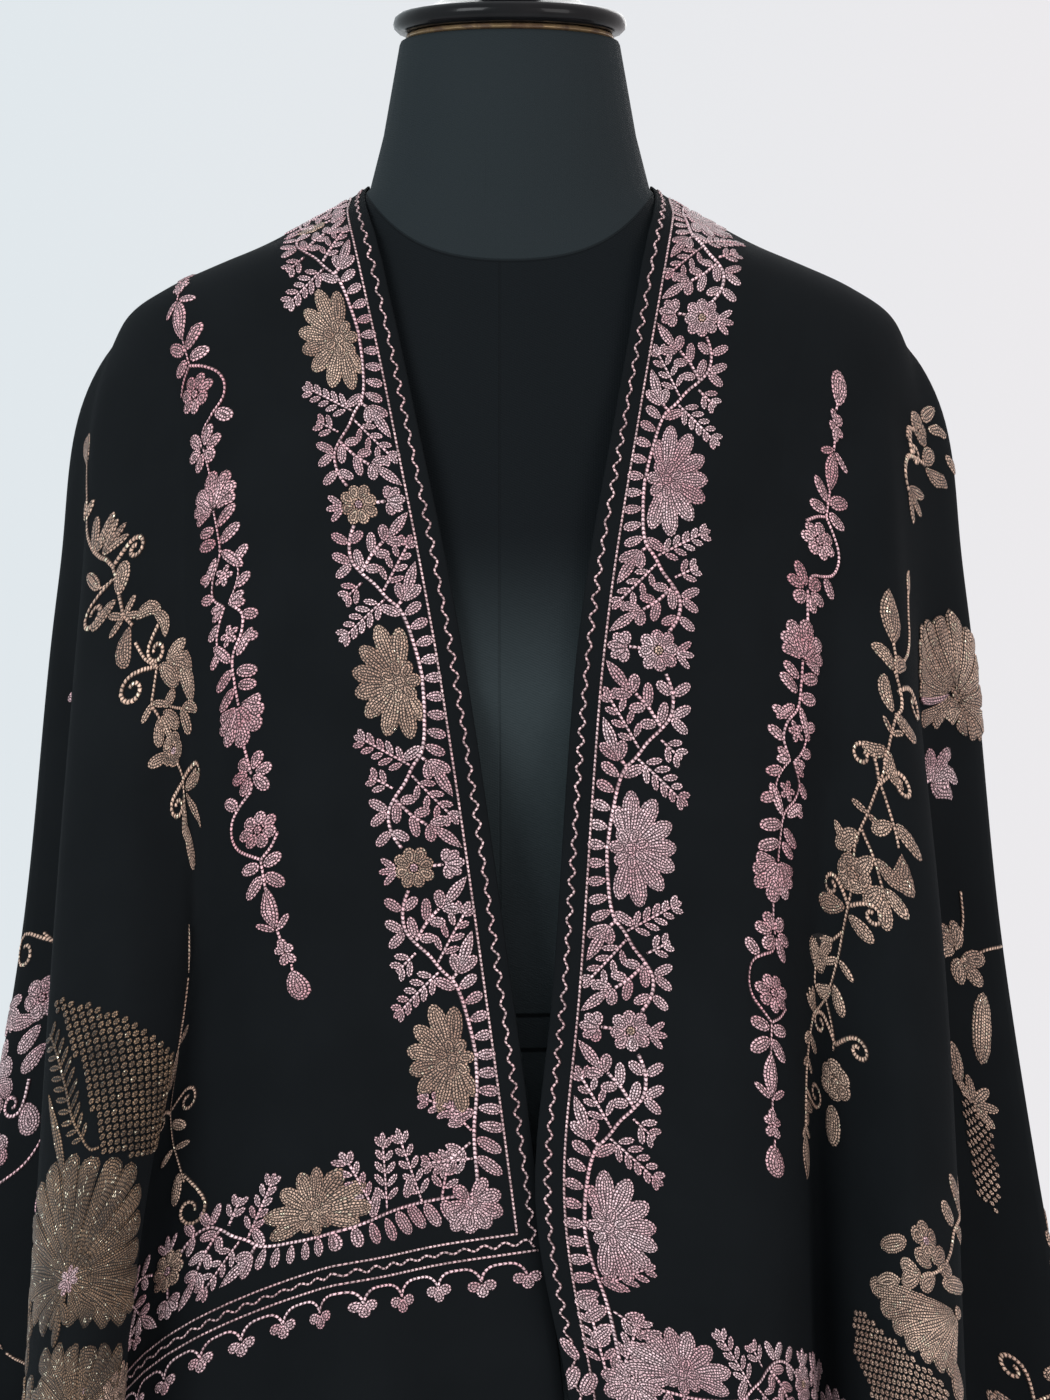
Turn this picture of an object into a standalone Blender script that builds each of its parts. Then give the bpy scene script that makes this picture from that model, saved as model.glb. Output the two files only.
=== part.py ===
"""Embroidered stole draped over a limbless dress form that stands on a round base.

Metres, +Z up, the form faces -Y.  The origin is the middle of the base's underside.

The stole is one rectangle of cloth.  A place on it is (s, w): s runs along its length from the middle
of the back towards either end, and w runs across it from the neck edge.  Its drape is made of fall
lines: a front fall line leaves the shoulder line, and a back fall line leaves the neck edge.  Each is
a smooth curve through the places that a short table gives, and the cloth is the smooth surface
through the fall lines, lifted clear of the form wherever the two would touch.
"""

from math import cos, pi, radians, sin

import bmesh
import bpy
import numpy as np

# ---- the cloth as it was cut ----
CLOTH_WIDTH = 0.70
CLOTH_THICKNESS = 0.0020
LENGTH_TO_END = {"left": 0.855, "right": 0.945}    # from the middle of the back to either end
SHOULDER_WIDTH = 0.175                             # of the cloth's width, lies on the shoulder line
SEAM_GAP = 0.0003
CLEARANCE = 0.0068                                 # from the form to the middle of the cloth
SOFTNESS = 0.0040                                  # how gradually the cloth meets the form
BIAS_STRETCH = 0.08                                # cloth hanging at 45 degrees to its threads
ANGLE_SPREAD = 0.5                                 # metres down the fall lines where they are evenly measured
SHOULDER_ROUND = (0.25, 0.38, 0.22)                # turn of a fall line over the shoulder: out, forward, down
PROBE = 0.001                                      # step for the slope of the form's surface
SEAM_STEP = 0.004                                  # step for the direction square to a seam

# ---- the stand ----
BASE_RADIUS = 0.170
BASE_HEIGHT = 0.016
BASE_EDGE = 0.004
BASE_CROWN = 0.004                                 # rise of the base's top towards its middle
BASE_CROWN_RADIUS = 0.060
BEVEL = 0.001
COLLAR_PROFILE = ((0.042, 0.000), (0.042, 0.006), (0.028, 0.014), (0.021, 0.041), (0.017, 0.045))
POLE_RADIUS = 0.0140
POLE_TURNS = 24
PLATE_THICKNESS = 0.012
PLATE_INSET = 0.006
FORM_BOTTOM = 0.745
FORM_TOP = 1.473
FACE_GAP = 0.0003

# ---- the neck's cap ----
RING_RADIUS = 0.0535
RING_HEIGHT = 0.0030
CAP_RADIUS = 0.0600
CAP_THICKNESS = 0.0100
CAP_COVE = ((0.0490, 0.0008), (0.0410, 0.0035), (0.0330, 0.0080), (0.0150, 0.0140), (0.0130, 0.0190))
KNOB_RADIUS = 0.0210
KNOB_HALF_HEIGHT = 0.0227
KNOB_MIDDLE = 0.0360                               # above the cap's rim

# Form: height, half width, depth in front of the middle, depth behind it
FORM_ROWS = (
    (0.745, 0.1600, 0.1040, 0.1120),
    (0.760, 0.1660, 0.1095, 0.1180),
    (0.800, 0.1670, 0.1105, 0.1200),
    (0.860, 0.1560, 0.1060, 0.1140),
    (0.920, 0.1350, 0.0980, 0.1020),
    (0.983, 0.1160, 0.0920, 0.0900),
    (1.040, 0.1220, 0.0980, 0.0940),
    (1.100, 0.1380, 0.1110, 0.1010),
    (1.150, 0.1520, 0.1200, 0.1060),
    (1.200, 0.1700, 0.1180, 0.1080),
    (1.240, 0.1890, 0.1110, 0.1070),
    (1.270, 0.2010, 0.1040, 0.1050),
    (1.295, 0.2030, 0.0970, 0.1020),
    (1.315, 0.1985, 0.0910, 0.0990),
    (1.331, 0.1880, 0.0860, 0.0960),
    (1.345, 0.1640, 0.0820, 0.0930),
    (1.358, 0.1340, 0.0770, 0.0890),
    (1.369, 0.1080, 0.0735, 0.0850),
    (1.381, 0.0880, 0.0710, 0.0800),
    (1.398, 0.0720, 0.0685, 0.0725),
    (1.425, 0.0650, 0.0640, 0.0650),
    (1.450, 0.0605, 0.0600, 0.0605),
    (1.473, 0.0563, 0.0563, 0.0563),
)
BUST_HEIGHT = 1.145
BUST_REACH = 0.026
BUST_TURN = 0.62                                   # radians to either side of the front
BUST_SPREAD = 0.42
BUST_TALL = 0.055

# Shoulder line, from the side of the neck to the tip: outward, forward-back, height
SHOULDER_LINE = (
    (0.0745, 0.000, 1.4030),
    (0.1050, 0.000, 1.3785),
    (0.1400, 0.000, 1.3635),
    (0.1720, 0.001, 1.3485),
    (0.1955, 0.003, 1.3315),
    (0.2100, 0.006, 1.3120),
)
# Neck edge behind the neck, from the side of the neck to the middle of the back
NECK_LINE = (
    (0.0745, 0.000, 1.4030),
    (0.0760, 0.026, 1.3990),
    (0.0740, 0.055, 1.3880),
    (0.0600, 0.085, 1.3740),
    (0.0320, 0.102, 1.3650),
    (0.0000, 0.1075, 1.3620),
)
# Where the shoulder line lies in the cloth: width from the neck edge, length from the middle of the back
SHOULDER_IN_CLOTH = ((0.0, 0.180), (0.05, 0.198), (0.10, 0.215), (0.14, 0.213), (0.175, 0.195))

# Fall lines of the fronts: name, width where it leaves the shoulder line, angle in the cloth (0 runs
# along the length), then outward and forward-back at each of these heights
LEVELS = (1.30, 1.20, 1.00, 0.90, 0.80, 0.50)
FRONT_LEFT = (
    ("front edge", 0.000, 0.0,
     (0.0500, -0.100), (0.0285, -0.129), (-0.0015, -0.1345),
     (-0.0145, -0.1335), (-0.0265, -0.133), (-0.0450, -0.133)),
    ("band", 0.045, 0.0,
     (0.0930, -0.090), (0.0760, -0.126), (0.0480, -0.1375),
     (0.0355, -0.138), (0.0240, -0.139), (0.008, -0.140)),
    ("garland", 0.090, 1.0,
     (0.1320, -0.072), (0.1180, -0.110), (0.0930, -0.137),
     (0.0820, -0.142), (0.0750, -0.145), (0.062, -0.148)),
    ("inner valley", 0.120, 11.0,
     (0.1640, -0.052), (0.1620, -0.086), (0.1580, -0.107),
     (0.1840, -0.098), (0.2000, -0.097), (0.212, -0.095)),
    ("ridge inner edge", 0.128, 14.5,
     (0.1760, -0.049), (0.1750, -0.083), (0.1620, -0.118),
     (0.1780, -0.124), (0.1895, -0.128), (0.202, -0.130)),
    ("ridge", 0.137, 19.5,
     (0.1880, -0.042), (0.1930, -0.074), (0.1890, -0.134),
     (0.2030, -0.148), (0.2140, -0.155), (0.228, -0.162)),
    ("ridge outer edge", 0.150, 25.5,
     (0.2050, -0.027), (0.2155, -0.049), (0.2290, -0.106),
     (0.2355, -0.113), (0.2410, -0.118), (0.262, -0.130)),
    ("outer valley", 0.160, 34.5,
     (0.2110, -0.014), (0.2150, -0.030), (0.1980, -0.048),
     (0.2000, -0.048), (0.2030, -0.048), (0.220, -0.055)),
    ("side ridge", 0.168, 46.5,
     (0.2165, 0.000), (0.2345, -0.004), (0.2610, -0.008),
     (0.2800, -0.010), (0.2990, -0.012), (0.340, -0.015)),
    ("side valley", 0.175, 57.5,
     (0.2150, 0.013), (0.2220, 0.024), (0.2080, 0.038),
     (0.2140, 0.043), (0.2220, 0.047), (0.245, 0.056)),
)
FRONT_RIGHT = (
    ("front edge", 0.000, 0.0,
     (0.0555, -0.098), (0.0375, -0.128), (0.0215, -0.137),
     (0.0135, -0.140), (0.0305, -0.141), (0.0450, -0.142)),
    ("band", 0.045, 0.0,
     (0.0980, -0.088), (0.0850, -0.125), (0.0710, -0.140),
     (0.0650, -0.144), (0.0790, -0.146), (0.095, -0.148)),
    ("garland", 0.095, 1.0,
     (0.1400, -0.068), (0.1310, -0.103), (0.1200, -0.135),
     (0.1180, -0.142), (0.1280, -0.147), (0.140, -0.150)),
    ("inner valley edge", 0.108, 4.0,
     (0.1530, -0.060), (0.1480, -0.094), (0.1370, -0.124),
     (0.1415, -0.124), (0.1475, -0.122), (0.160, -0.124)),
    ("inner valley", 0.122, 9.0,
     (0.1660, -0.052), (0.1650, -0.084), (0.1520, -0.104),
     (0.1540, -0.088), (0.1560, -0.077), (0.170, -0.070)),
    ("ridge", 0.138, 16.5,
     (0.1880, -0.042), (0.1930, -0.072), (0.1920, -0.128),
     (0.1950, -0.136), (0.1980, -0.140), (0.215, -0.145)),
    ("ridge outer edge", 0.150, 21.5,
     (0.1990, -0.029), (0.2010, -0.052), (0.2175, -0.104),
     (0.2240, -0.108), (0.2290, -0.110), (0.250, -0.118)),
    ("outer valley", 0.160, 30.5,
     (0.2090, -0.014), (0.2130, -0.030), (0.1950, -0.046),
     (0.1950, -0.044), (0.1960, -0.042), (0.210, -0.050)),
    ("side ridge", 0.168, 43.0,
     (0.2175, 0.000), (0.2365, -0.002), (0.2630, -0.004),
     (0.2805, -0.006), (0.3000, -0.008), (0.340, -0.010)),
    ("side valley", 0.175, 55.0,
     (0.2155, 0.013), (0.2230, 0.024), (0.2120, 0.040),
     (0.2150, 0.044), (0.2220, 0.050), (0.245, 0.060)),
)
# Fall lines of the back: name, share of the way from the middle of the back to the shoulder line, angle
# in the cloth, the place where it leaves the shoulder blades, then outward and forward-back at each height
BACK_LEVELS = (1.10, 0.95, 0.80, 0.50)
BACK = (
    ("middle", 0.00, 90.0, (0.000, 0.1180, 1.192),
     (0.000, 0.1280), (0.000, 0.1340), (0.000, 0.1390), (0.000, 0.145)),
    ("middle ridge", 0.28, 89.5, (0.060, 0.1160, 1.200),
     (0.060, 0.1250), (0.058, 0.1370), (0.058, 0.1460), (0.060, 0.155)),
    ("back dip", 0.56, 87.0, (0.122, 0.1070, 1.225),
     (0.122, 0.1110), (0.122, 0.1190), (0.126, 0.1250), (0.132, 0.130)),
    ("back fold", 0.74, 82.5, (0.160, 0.0940, 1.254),
     (0.162, 0.1190), (0.164, 0.1450), (0.170, 0.1600), (0.180, 0.175)),
    ("back valley", 0.87, 75.5, (0.189, 0.0680, 1.280),
     (0.189, 0.0900), (0.192, 0.1080), (0.200, 0.1140), (0.212, 0.120)),
    ("back ridge", 0.95, 67.0, (0.205, 0.0380, 1.299),
     (0.230, 0.0730), (0.249, 0.0930), (0.272, 0.1090), (0.310, 0.130)),
)

# ---- how finely the solids are made ----
FORM_TURNS = 36
FRONT_STEPS_BETWEEN = 2                            # sections from one fall line of the table to the next
BACK_STEPS_BETWEEN = 3
FALL_STEPS = 15
FALL_CROWDING = 1.4                                # steps are shorter near the shoulder
YOKE_STEPS = 5
CURVE_STEPS = 60

# ---- colours ----
FINISHES = {
    "cloth": ((0.012, 0.012, 0.014), 0.85, 0.0),
    "form": ((0.022, 0.028, 0.032), 0.90, 0.0),
    "cap": ((0.010, 0.009, 0.009), 0.18, 0.0),
    "ring": ((0.420, 0.270, 0.130), 0.35, 1.0),
    "stand": ((0.020, 0.020, 0.021), 0.40, 0.6),
}


def spline(knots, values, places):
    """A smooth curve through values at rising knots, read at the places."""
    knots = np.asarray(knots, dtype=float)
    values = np.asarray(values, dtype=float)
    places = np.atleast_1d(np.asarray(places, dtype=float))
    slopes = np.gradient(values, knots, axis=0)
    first = np.clip(np.searchsorted(knots, places, side="right") - 1, 0, len(knots) - 2)
    span = knots[first + 1] - knots[first]
    along = (places - knots[first]) / span
    shape = (-1,) + (1,) * (values.ndim - 1)
    u = along.reshape(shape)
    span = span.reshape(shape)
    start = (2 * u ** 3 - 3 * u ** 2 + 1) * values[first] + (u ** 3 - 2 * u ** 2 + u) * span * slopes[first]
    end = (3 * u ** 2 - 2 * u ** 3) * values[first + 1] + (u ** 3 - u ** 2) * span * slopes[first + 1]
    return start + end


def lengths_along(points):
    """Distance of each point from the first, along the curve."""
    steps = np.linalg.norm(np.diff(points, axis=0), axis=1)
    return np.concatenate(([0.0], np.cumsum(steps)))


def smooth_curve(points, steps=CURVE_STEPS):
    """A fine polyline through a few points, by their distances."""
    points = np.asarray(points, dtype=float)
    along = lengths_along(points)
    return spline(along, points, np.linspace(0.0, along[-1], steps))


def walk(curve, distances):
    """Points at the distances along a fine polyline, carried straight on past its end."""
    along = lengths_along(curve)
    inside = np.minimum(distances, along[-1])
    points = np.stack([np.interp(inside, along, curve[:, axis]) for axis in range(3)], axis=1)
    heading = (curve[-1] - curve[-2]) / np.linalg.norm(curve[-1] - curve[-2])
    return points + (distances - inside)[:, None] * heading


# ---- the form's surface ----
def form_radius(turn, height):
    """Distance of the form's surface from its upright axis; turn is measured from the front."""
    rows = np.array(FORM_ROWS)
    height = np.clip(height, rows[0, 0], rows[-1, 0])
    wide, front, back = np.moveaxis(spline(rows[:, 0], rows[:, 1:], height.ravel()), 1, 0)
    turn_flat = turn.ravel()
    deep = np.where(np.cos(turn_flat) > 0.0, front, back)
    oval = 1.0 / np.sqrt((np.sin(turn_flat) / wide) ** 2 + (np.cos(turn_flat) / deep) ** 2)
    bust_row = np.exp(-((height.ravel() - BUST_HEIGHT) / BUST_TALL) ** 2)
    swell = sum(np.exp(-((turn_flat - side * BUST_TURN) / BUST_SPREAD) ** 2) for side in (-1.0, 1.0))
    return (oval + BUST_REACH * bust_row * swell).reshape(turn.shape)


def form_gap(points):
    """How far points stand outside the form, measured level."""
    turn = np.arctan2(points[..., 0], -points[..., 1])
    return np.hypot(points[..., 0], points[..., 1]) - form_radius(turn, points[..., 2])


def lift_clear(points):
    """Move points out along the form's normal until they clear it."""
    for _ in range(4):
        gap = form_gap(points)
        slope = np.stack([(form_gap(points + offset) - gap) / PROBE for offset in np.eye(3) * PROBE], axis=-1)
        steep = np.linalg.norm(slope, axis=-1)
        short = CLEARANCE - gap / steep
        lift = (short + np.sqrt(short ** 2 + SOFTNESS ** 2)) / 2.0 - SOFTNESS / 2.0
        points = points + (np.maximum(lift, 0.0) / steep)[..., None] * slope
    return points


# ---- fall lines ----
def front_knots(table):
    """A rising measure across the front's fall lines: how far apart they have spread lower down."""
    return [row[1] + ANGLE_SPREAD * radians(row[2]) for row in table]


def shoulder_point(width):
    """Place on the shoulder line of a width from the neck edge."""
    curve = smooth_curve(SHOULDER_LINE)
    share = np.asarray(width) / SHOULDER_WIDTH
    return walk(curve, np.atleast_1d(share) * lengths_along(curve)[-1])


def front_fall_lines(table):
    """Each front fall line of the table as a fine curve."""
    curves = []
    for name, width, angle, *places in table:
        top = shoulder_point(width)[0]
        lower = np.array([(x, y, z) for (x, y), z in zip(places, LEVELS)])
        over = top + (lower[0] - top) * SHOULDER_ROUND
        curves.append(smooth_curve([top, over, *lower]))
    return curves


def front_surface(table, measures, distances):
    """Places on a front: measures pick the fall lines, distances run down each one."""
    curves = front_fall_lines(table)
    knots = front_knots(table)
    lines = []
    for column, measure in enumerate(measures):
        across = np.stack([walk(curve, distances[column]) for curve in curves])
        lines.append(spline(knots, across, [measure])[0])
    return lift_clear(np.stack(lines))


def front_reach(table, measures, side):
    """Cloth distance and real distance from the shoulder line to the edge, down each fall line."""
    knots = front_knots(table)
    width = np.interp(measures, knots, [row[1] for row in table])
    angle = np.radians(np.interp(measures, knots, [row[2] for row in table]))
    start = np.interp(width, *zip(*SHOULDER_IN_CLOTH))
    to_end = (LENGTH_TO_END[side] - start) / np.maximum(np.cos(angle), 1e-6)
    to_hem = (CLOTH_WIDTH - width) / np.maximum(np.sin(angle), 1e-6)
    return np.minimum(to_end, to_hem), 1.0 + BIAS_STRETCH * np.sin(2.0 * angle) ** 2


def corner_measure(table, side):
    """The measure of the fall line that ends at the cloth's corner."""
    fine = np.linspace(front_knots(table)[0], front_knots(table)[-1], 400)
    knots = front_knots(table)
    width = np.interp(fine, knots, [row[1] for row in table])
    angle = np.radians(np.interp(fine, knots, [row[2] for row in table]))
    start = np.interp(width, *zip(*SHOULDER_IN_CLOTH))
    past = np.tan(angle) * (LENGTH_TO_END[side] - start) - (CLOTH_WIDTH - width)
    return fine[np.argmax(past > 0.0)]


def back_fall_lines(table):
    """Each back fall line as a curve from the neck edge, with its length down to the shoulder blades."""
    neck = smooth_curve(NECK_LINE)
    neck_length = lengths_along(neck)[-1]
    curves = []
    for name, share, angle, blade, *places in BACK:
        top = walk(neck, np.array([(1.0 - share) * neck_length]))[0]
        middle = lift_clear((top + np.array(blade)) / 2.0)
        lower = [(x, y, z) for (x, y), z in zip(places, BACK_LEVELS)]
        curve = smooth_curve([top, middle, blade] + lower, 2 * CURVE_STEPS)
        curves.append((curve, lengths_along(curve)[np.argmin(np.linalg.norm(curve - blade, axis=1))]))
    yoke = shoulder_point(np.linspace(0.0, SHOULDER_WIDTH, CURVE_STEPS))
    curves.append((np.concatenate([yoke, front_fall_lines(table)[-1][1:]]), lengths_along(yoke)[-1]))
    return curves, [row[1] for row in BACK] + [1.0], [row[2] for row in BACK] + [table[-1][2]]


def back_surface(table, shares, widths):
    """Places on the back: shares pick the fall lines, widths run down from the neck edge."""
    curves, knots, _ = back_fall_lines(table)
    lines = []
    for column, share in enumerate(shares):
        on_yoke = np.minimum(widths[column], SHOULDER_WIDTH) / SHOULDER_WIDTH
        below = np.maximum(widths[column] - SHOULDER_WIDTH, 0.0)
        across = np.stack([walk(curve, on_yoke * blade + below) for curve, blade in curves])
        lines.append(spline(knots, across, [share])[0])
    return lift_clear(np.stack(lines))


# ---- making solids ----
def finish_material(finish):
    """The Principled material of a finish, made once."""
    if finish in bpy.data.materials:
        return bpy.data.materials[finish]
    colour, roughness, metallic = FINISHES[finish]
    material = bpy.data.materials.new(finish)
    material.use_nodes = True
    shader = material.node_tree.nodes["Principled BSDF"]
    shader.inputs["Base Color"].default_value = (*colour, 1.0)
    shader.inputs["Roughness"].default_value = roughness
    shader.inputs["Metallic"].default_value = metallic
    return material


def place_mesh(name, mesh_data, finish, sharp_angle=35.0):
    """Turn a bmesh into a named object with its finish, shaded smooth up to an angle."""
    mesh = bpy.data.meshes.new(name)
    bmesh.ops.recalc_face_normals(mesh_data, faces=mesh_data.faces)
    mesh_data.to_mesh(mesh)
    mesh_data.free()
    mesh.shade_smooth()
    mesh.set_sharp_from_angle(angle=radians(sharp_angle))
    mesh.materials.append(finish_material(finish))
    solid = bpy.data.objects.new(name, mesh)
    bpy.context.collection.objects.link(solid)
    return solid


def cloth_wall(name, middle, outward):
    """A closed wall of cloth round a grid of places, half its thickness to either side."""
    half = CLOTH_THICKNESS / 2.0
    columns, rows = middle.shape[:2]
    data = bmesh.new()
    faces = {}
    for side in (1.0, -1.0):
        faces[side] = [[data.verts.new(place) for place in line] for line in middle + side * half * outward]
        for i in range(columns - 1):
            for j in range(rows - 1):
                near, far = faces[side][i], faces[side][i + 1]
                data.faces.new((near[j], near[j + 1], far[j + 1], far[j]))
    rim = [(i, 0) for i in range(columns)]
    rim += [(columns - 1, j) for j in range(1, rows)]
    rim += [(i, rows - 1) for i in range(columns - 2, -1, -1)]
    rim += [(0, j) for j in range(rows - 2, 0, -1)]
    for (i, j), (k, m) in zip(rim, rim[1:] + rim[:1]):
        data.faces.new((faces[1.0][i][j], faces[1.0][k][m], faces[-1.0][k][m], faces[-1.0][i][j]))
    return place_mesh(name, data, "cloth", 60.0)


def turned(name, profile, finish, turns=FORM_TURNS):
    """A solid of revolution round the upright axis; the profile starts and ends on the axis."""
    data = bmesh.new()
    rings = []
    for radius, height in profile:
        if radius == 0.0:
            rings.append([data.verts.new((0.0, 0.0, height))])
            continue
        angles = [2.0 * pi * k / turns for k in range(turns)]
        rings.append([data.verts.new((radius * cos(a), radius * sin(a), height)) for a in angles])
    join_rings(data, rings)
    return place_mesh(name, data, finish)


def join_rings(data, rings):
    """Faces between neighbouring rings; a ring of one vertex is a pole."""
    for lower, upper in zip(rings, rings[1:]):
        count = max(len(lower), len(upper))
        for k in range(count):
            corners = [lower[k % len(lower)], lower[(k + 1) % len(lower)],
                       upper[(k + 1) % len(upper)], upper[k % len(upper)]]
            data.faces.new(list(dict.fromkeys(corners)))


# ---- the stole ----
def unit(vectors):
    return vectors / np.linalg.norm(vectors, axis=-1, keepdims=True)


def grid_normals(grid):
    """Directions square to a grid of places, columns by rows."""
    return unit(np.cross(np.gradient(grid, axis=1), np.gradient(grid, axis=0)))


def measures_between(knots, steps):
    """Places from knot to knot, the same number of steps in each stretch."""
    stretches = [np.linspace(low, high, steps, endpoint=False) for low, high in zip(knots, knots[1:])]
    return np.append(np.concatenate(stretches), knots[-1])


def shares_down():
    return np.linspace(0.0, 1.0, FALL_STEPS + 1) ** FALL_CROWDING


def front_places(table, side):
    """Measures of the front's sections and the distances down each; one section ends at the corner."""
    measures = measures_between(front_knots(table), FRONT_STEPS_BETWEEN)
    corner = corner_measure(table, side)
    measures[np.argmin(abs(measures - corner))] = corner
    reach, stretch = front_reach(table, measures, side)
    return measures, (reach * stretch)[:, None] * shares_down()


def back_places(table):
    """Shares of the back's sections and the widths down each."""
    _, knots, angles = back_fall_lines(table)
    shares = measures_between(knots, BACK_STEPS_BETWEEN)
    angle = np.radians(np.interp(shares, knots, angles))
    fall = (CLOTH_WIDTH - SHOULDER_WIDTH) / np.sin(angle) * (1.0 + BIAS_STRETCH * np.sin(2.0 * angle) ** 2)
    yoke = np.linspace(0.0, SHOULDER_WIDTH, YOKE_STEPS, endpoint=False)
    below = SHOULDER_WIDTH + fall[:, None] * shares_down()
    return shares, np.concatenate([np.tile(yoke, (len(shares), 1)), below], axis=1)


def seam_directions(front_side, back_side, seam):
    """Along the cloth and square to the seam, from the back to the front; and out of the cloth there."""
    tangent = unit(np.gradient(seam, axis=0))
    outward = unit(np.cross(unit(front_side - back_side), tangent))
    return np.cross(tangent, outward), outward


def open_seam(edge, normals, front_side, back_side, shift):
    """Draw an edge back from the seam by the shift, and turn its normals to the seam's."""
    along, outward = seam_directions(front_side, back_side, edge)
    return edge + along * shift, outward


def stole_half(table, side):
    """Grids of places and normals of one front and of its half of the back, outward to +X."""
    measures, distances = front_places(table, side)
    shares, widths = back_places(table)
    front = front_surface(table, measures, distances)
    back = back_surface(table, shares, widths)
    front_normals = grid_normals(front)
    back_normals = -grid_normals(back)
    gap = SEAM_GAP / 2.0

    on_shoulder = np.interp(measures, front_knots(table), [row[1] for row in table])
    front_side = front_surface(table, measures, np.full((len(measures), 1), SEAM_STEP))[:, 0]
    back_side = back_surface(table, [1.0 - SEAM_STEP], on_shoulder[None, :])[0]
    front[:, 0], front_normals[:, 0] = open_seam(front[:, 0], front_normals[:, 0], front_side, back_side, gap)

    yoke_measures = np.interp(widths[-1, :YOKE_STEPS], on_shoulder, measures)
    yoke_side = front_surface(table, yoke_measures, np.full((YOKE_STEPS, 1), SEAM_STEP))[:, 0]
    hanging_side = front_surface(table, [measures[-1] - SEAM_STEP], distances[-1:])[0]
    back_side = back_surface(table, [1.0 - SEAM_STEP], widths[-1:])[0]
    moved, outward = open_seam(front[-1], front_normals[-1], hanging_side, back_side[YOKE_STEPS:], gap)
    front[-1, 1:] = moved[1:]
    front_normals[-1, 1:] = outward[1:]
    front_side = np.concatenate([yoke_side, hanging_side])
    back[-1], back_normals[-1] = open_seam(back[-1], back_normals[-1], front_side, back_side, -gap)
    return front, front_normals, back, back_normals


def mirrored(grid):
    return grid * np.array([-1.0, 1.0, 1.0])


def make_stole():
    left_front, left_normals, left_back, left_back_normals = stole_half(FRONT_LEFT, "left")
    right_front, right_normals, right_back, right_back_normals = stole_half(FRONT_RIGHT, "right")
    cloth_wall("stole_front_left", mirrored(left_front), mirrored(left_normals))
    cloth_wall("stole_front_right", right_front, right_normals)
    back = np.concatenate([mirrored(left_back)[::-1], right_back[1:]])
    back_normals = np.concatenate([mirrored(left_back_normals)[::-1], right_back_normals[1:]])
    cloth_wall("stole_back", back, back_normals)


# ---- the dress form and its stand ----
def form_ring(data, height, inset=0.0, level=None):
    """A ring of vertices on the form's outline at a height, drawn in and set at another level if given."""
    turns = np.linspace(-pi, pi, FORM_TURNS, endpoint=False)
    radius = form_radius(turns, np.full(FORM_TURNS, height)) - inset
    level = height if level is None else level
    return [data.verts.new((r * sin(a), -r * cos(a), level)) for r, a in zip(radius, turns)]


def make_form_body():
    data = bmesh.new()
    rings = [form_ring(data, row[0]) for row in FORM_ROWS]
    join_rings(data, rings)
    data.faces.new(rings[0])
    data.faces.new(rings[-1])
    place_mesh("form_body", data, "form")


def make_cap():
    low = FORM_TOP + FACE_GAP
    high = low + RING_HEIGHT
    ring = [(0.0, low), (RING_RADIUS - BEVEL, low), (RING_RADIUS, low + BEVEL),
            (RING_RADIUS, high - BEVEL), (RING_RADIUS - BEVEL, high), (0.0, high)]
    turned("neck_ring", ring, "ring")

    low = high + FACE_GAP
    edge = CAP_THICKNESS / 2.0
    flat = CAP_RADIUS - edge
    rim = [(flat + edge * cos(radians(a)), low + edge + edge * sin(radians(a))) for a in range(-90, 91, 30)]
    top = low + CAP_THICKNESS
    cove = [(radius, top + height) for radius, height in CAP_COVE]
    ball = [(KNOB_RADIUS * cos(radians(a)), top + KNOB_MIDDLE + KNOB_HALF_HEIGHT * sin(radians(a)))
            for a in range(-50, 90, 20)]
    crown = (0.0, top + KNOB_MIDDLE + KNOB_HALF_HEIGHT)
    turned("neck_cap", [(0.0, low), *rim, *cove, *ball, crown], "cap")


def make_stand():
    plate_high = FORM_BOTTOM - FACE_GAP
    plate_low = plate_high - PLATE_THICKNESS
    data = bmesh.new()
    rings = [form_ring(data, FORM_BOTTOM, PLATE_INSET, level) for level in (plate_low, plate_high)]
    join_rings(data, rings)
    data.faces.new(rings[0])
    data.faces.new(rings[-1])
    place_mesh("form_plate", data, "cap")

    flat = BASE_RADIUS - BASE_EDGE
    shoulder = BASE_HEIGHT - BASE_EDGE
    edge = [(flat + BASE_EDGE * cos(radians(a)), shoulder + BASE_EDGE * sin(radians(a)))
            for a in range(0, 91, 30)]
    crown = BASE_HEIGHT + BASE_CROWN
    base = [(0.0, 0.0), (BASE_RADIUS - BEVEL, 0.0), (BASE_RADIUS, BEVEL), *edge,
            (BASE_CROWN_RADIUS, crown), (0.0, crown)]
    turned("stand_base", base, "stand")

    low = crown + FACE_GAP
    collar = [(radius, low + height) for radius, height in COLLAR_PROFILE]
    high = collar[-1][1]
    turned("stand_collar", [(0.0, low), *collar, (0.0, high)], "stand")
    pole_low = high + FACE_GAP
    pole_high = plate_low - FACE_GAP
    pole = [(0.0, pole_low), (POLE_RADIUS, pole_low), (POLE_RADIUS, pole_high), (0.0, pole_high)]
    turned("stand_pole", pole, "stand", POLE_TURNS)


def main():
    for old in list(bpy.data.objects):
        bpy.data.objects.remove(old, do_unlink=True)
    make_form_body()
    make_cap()
    make_stand()
    make_stole()


main()
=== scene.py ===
"""An embroidered stole worn open over a limbless dress form, on its round-based stand."""

from math import ceil, cos, hypot, pi, radians, sin

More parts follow.
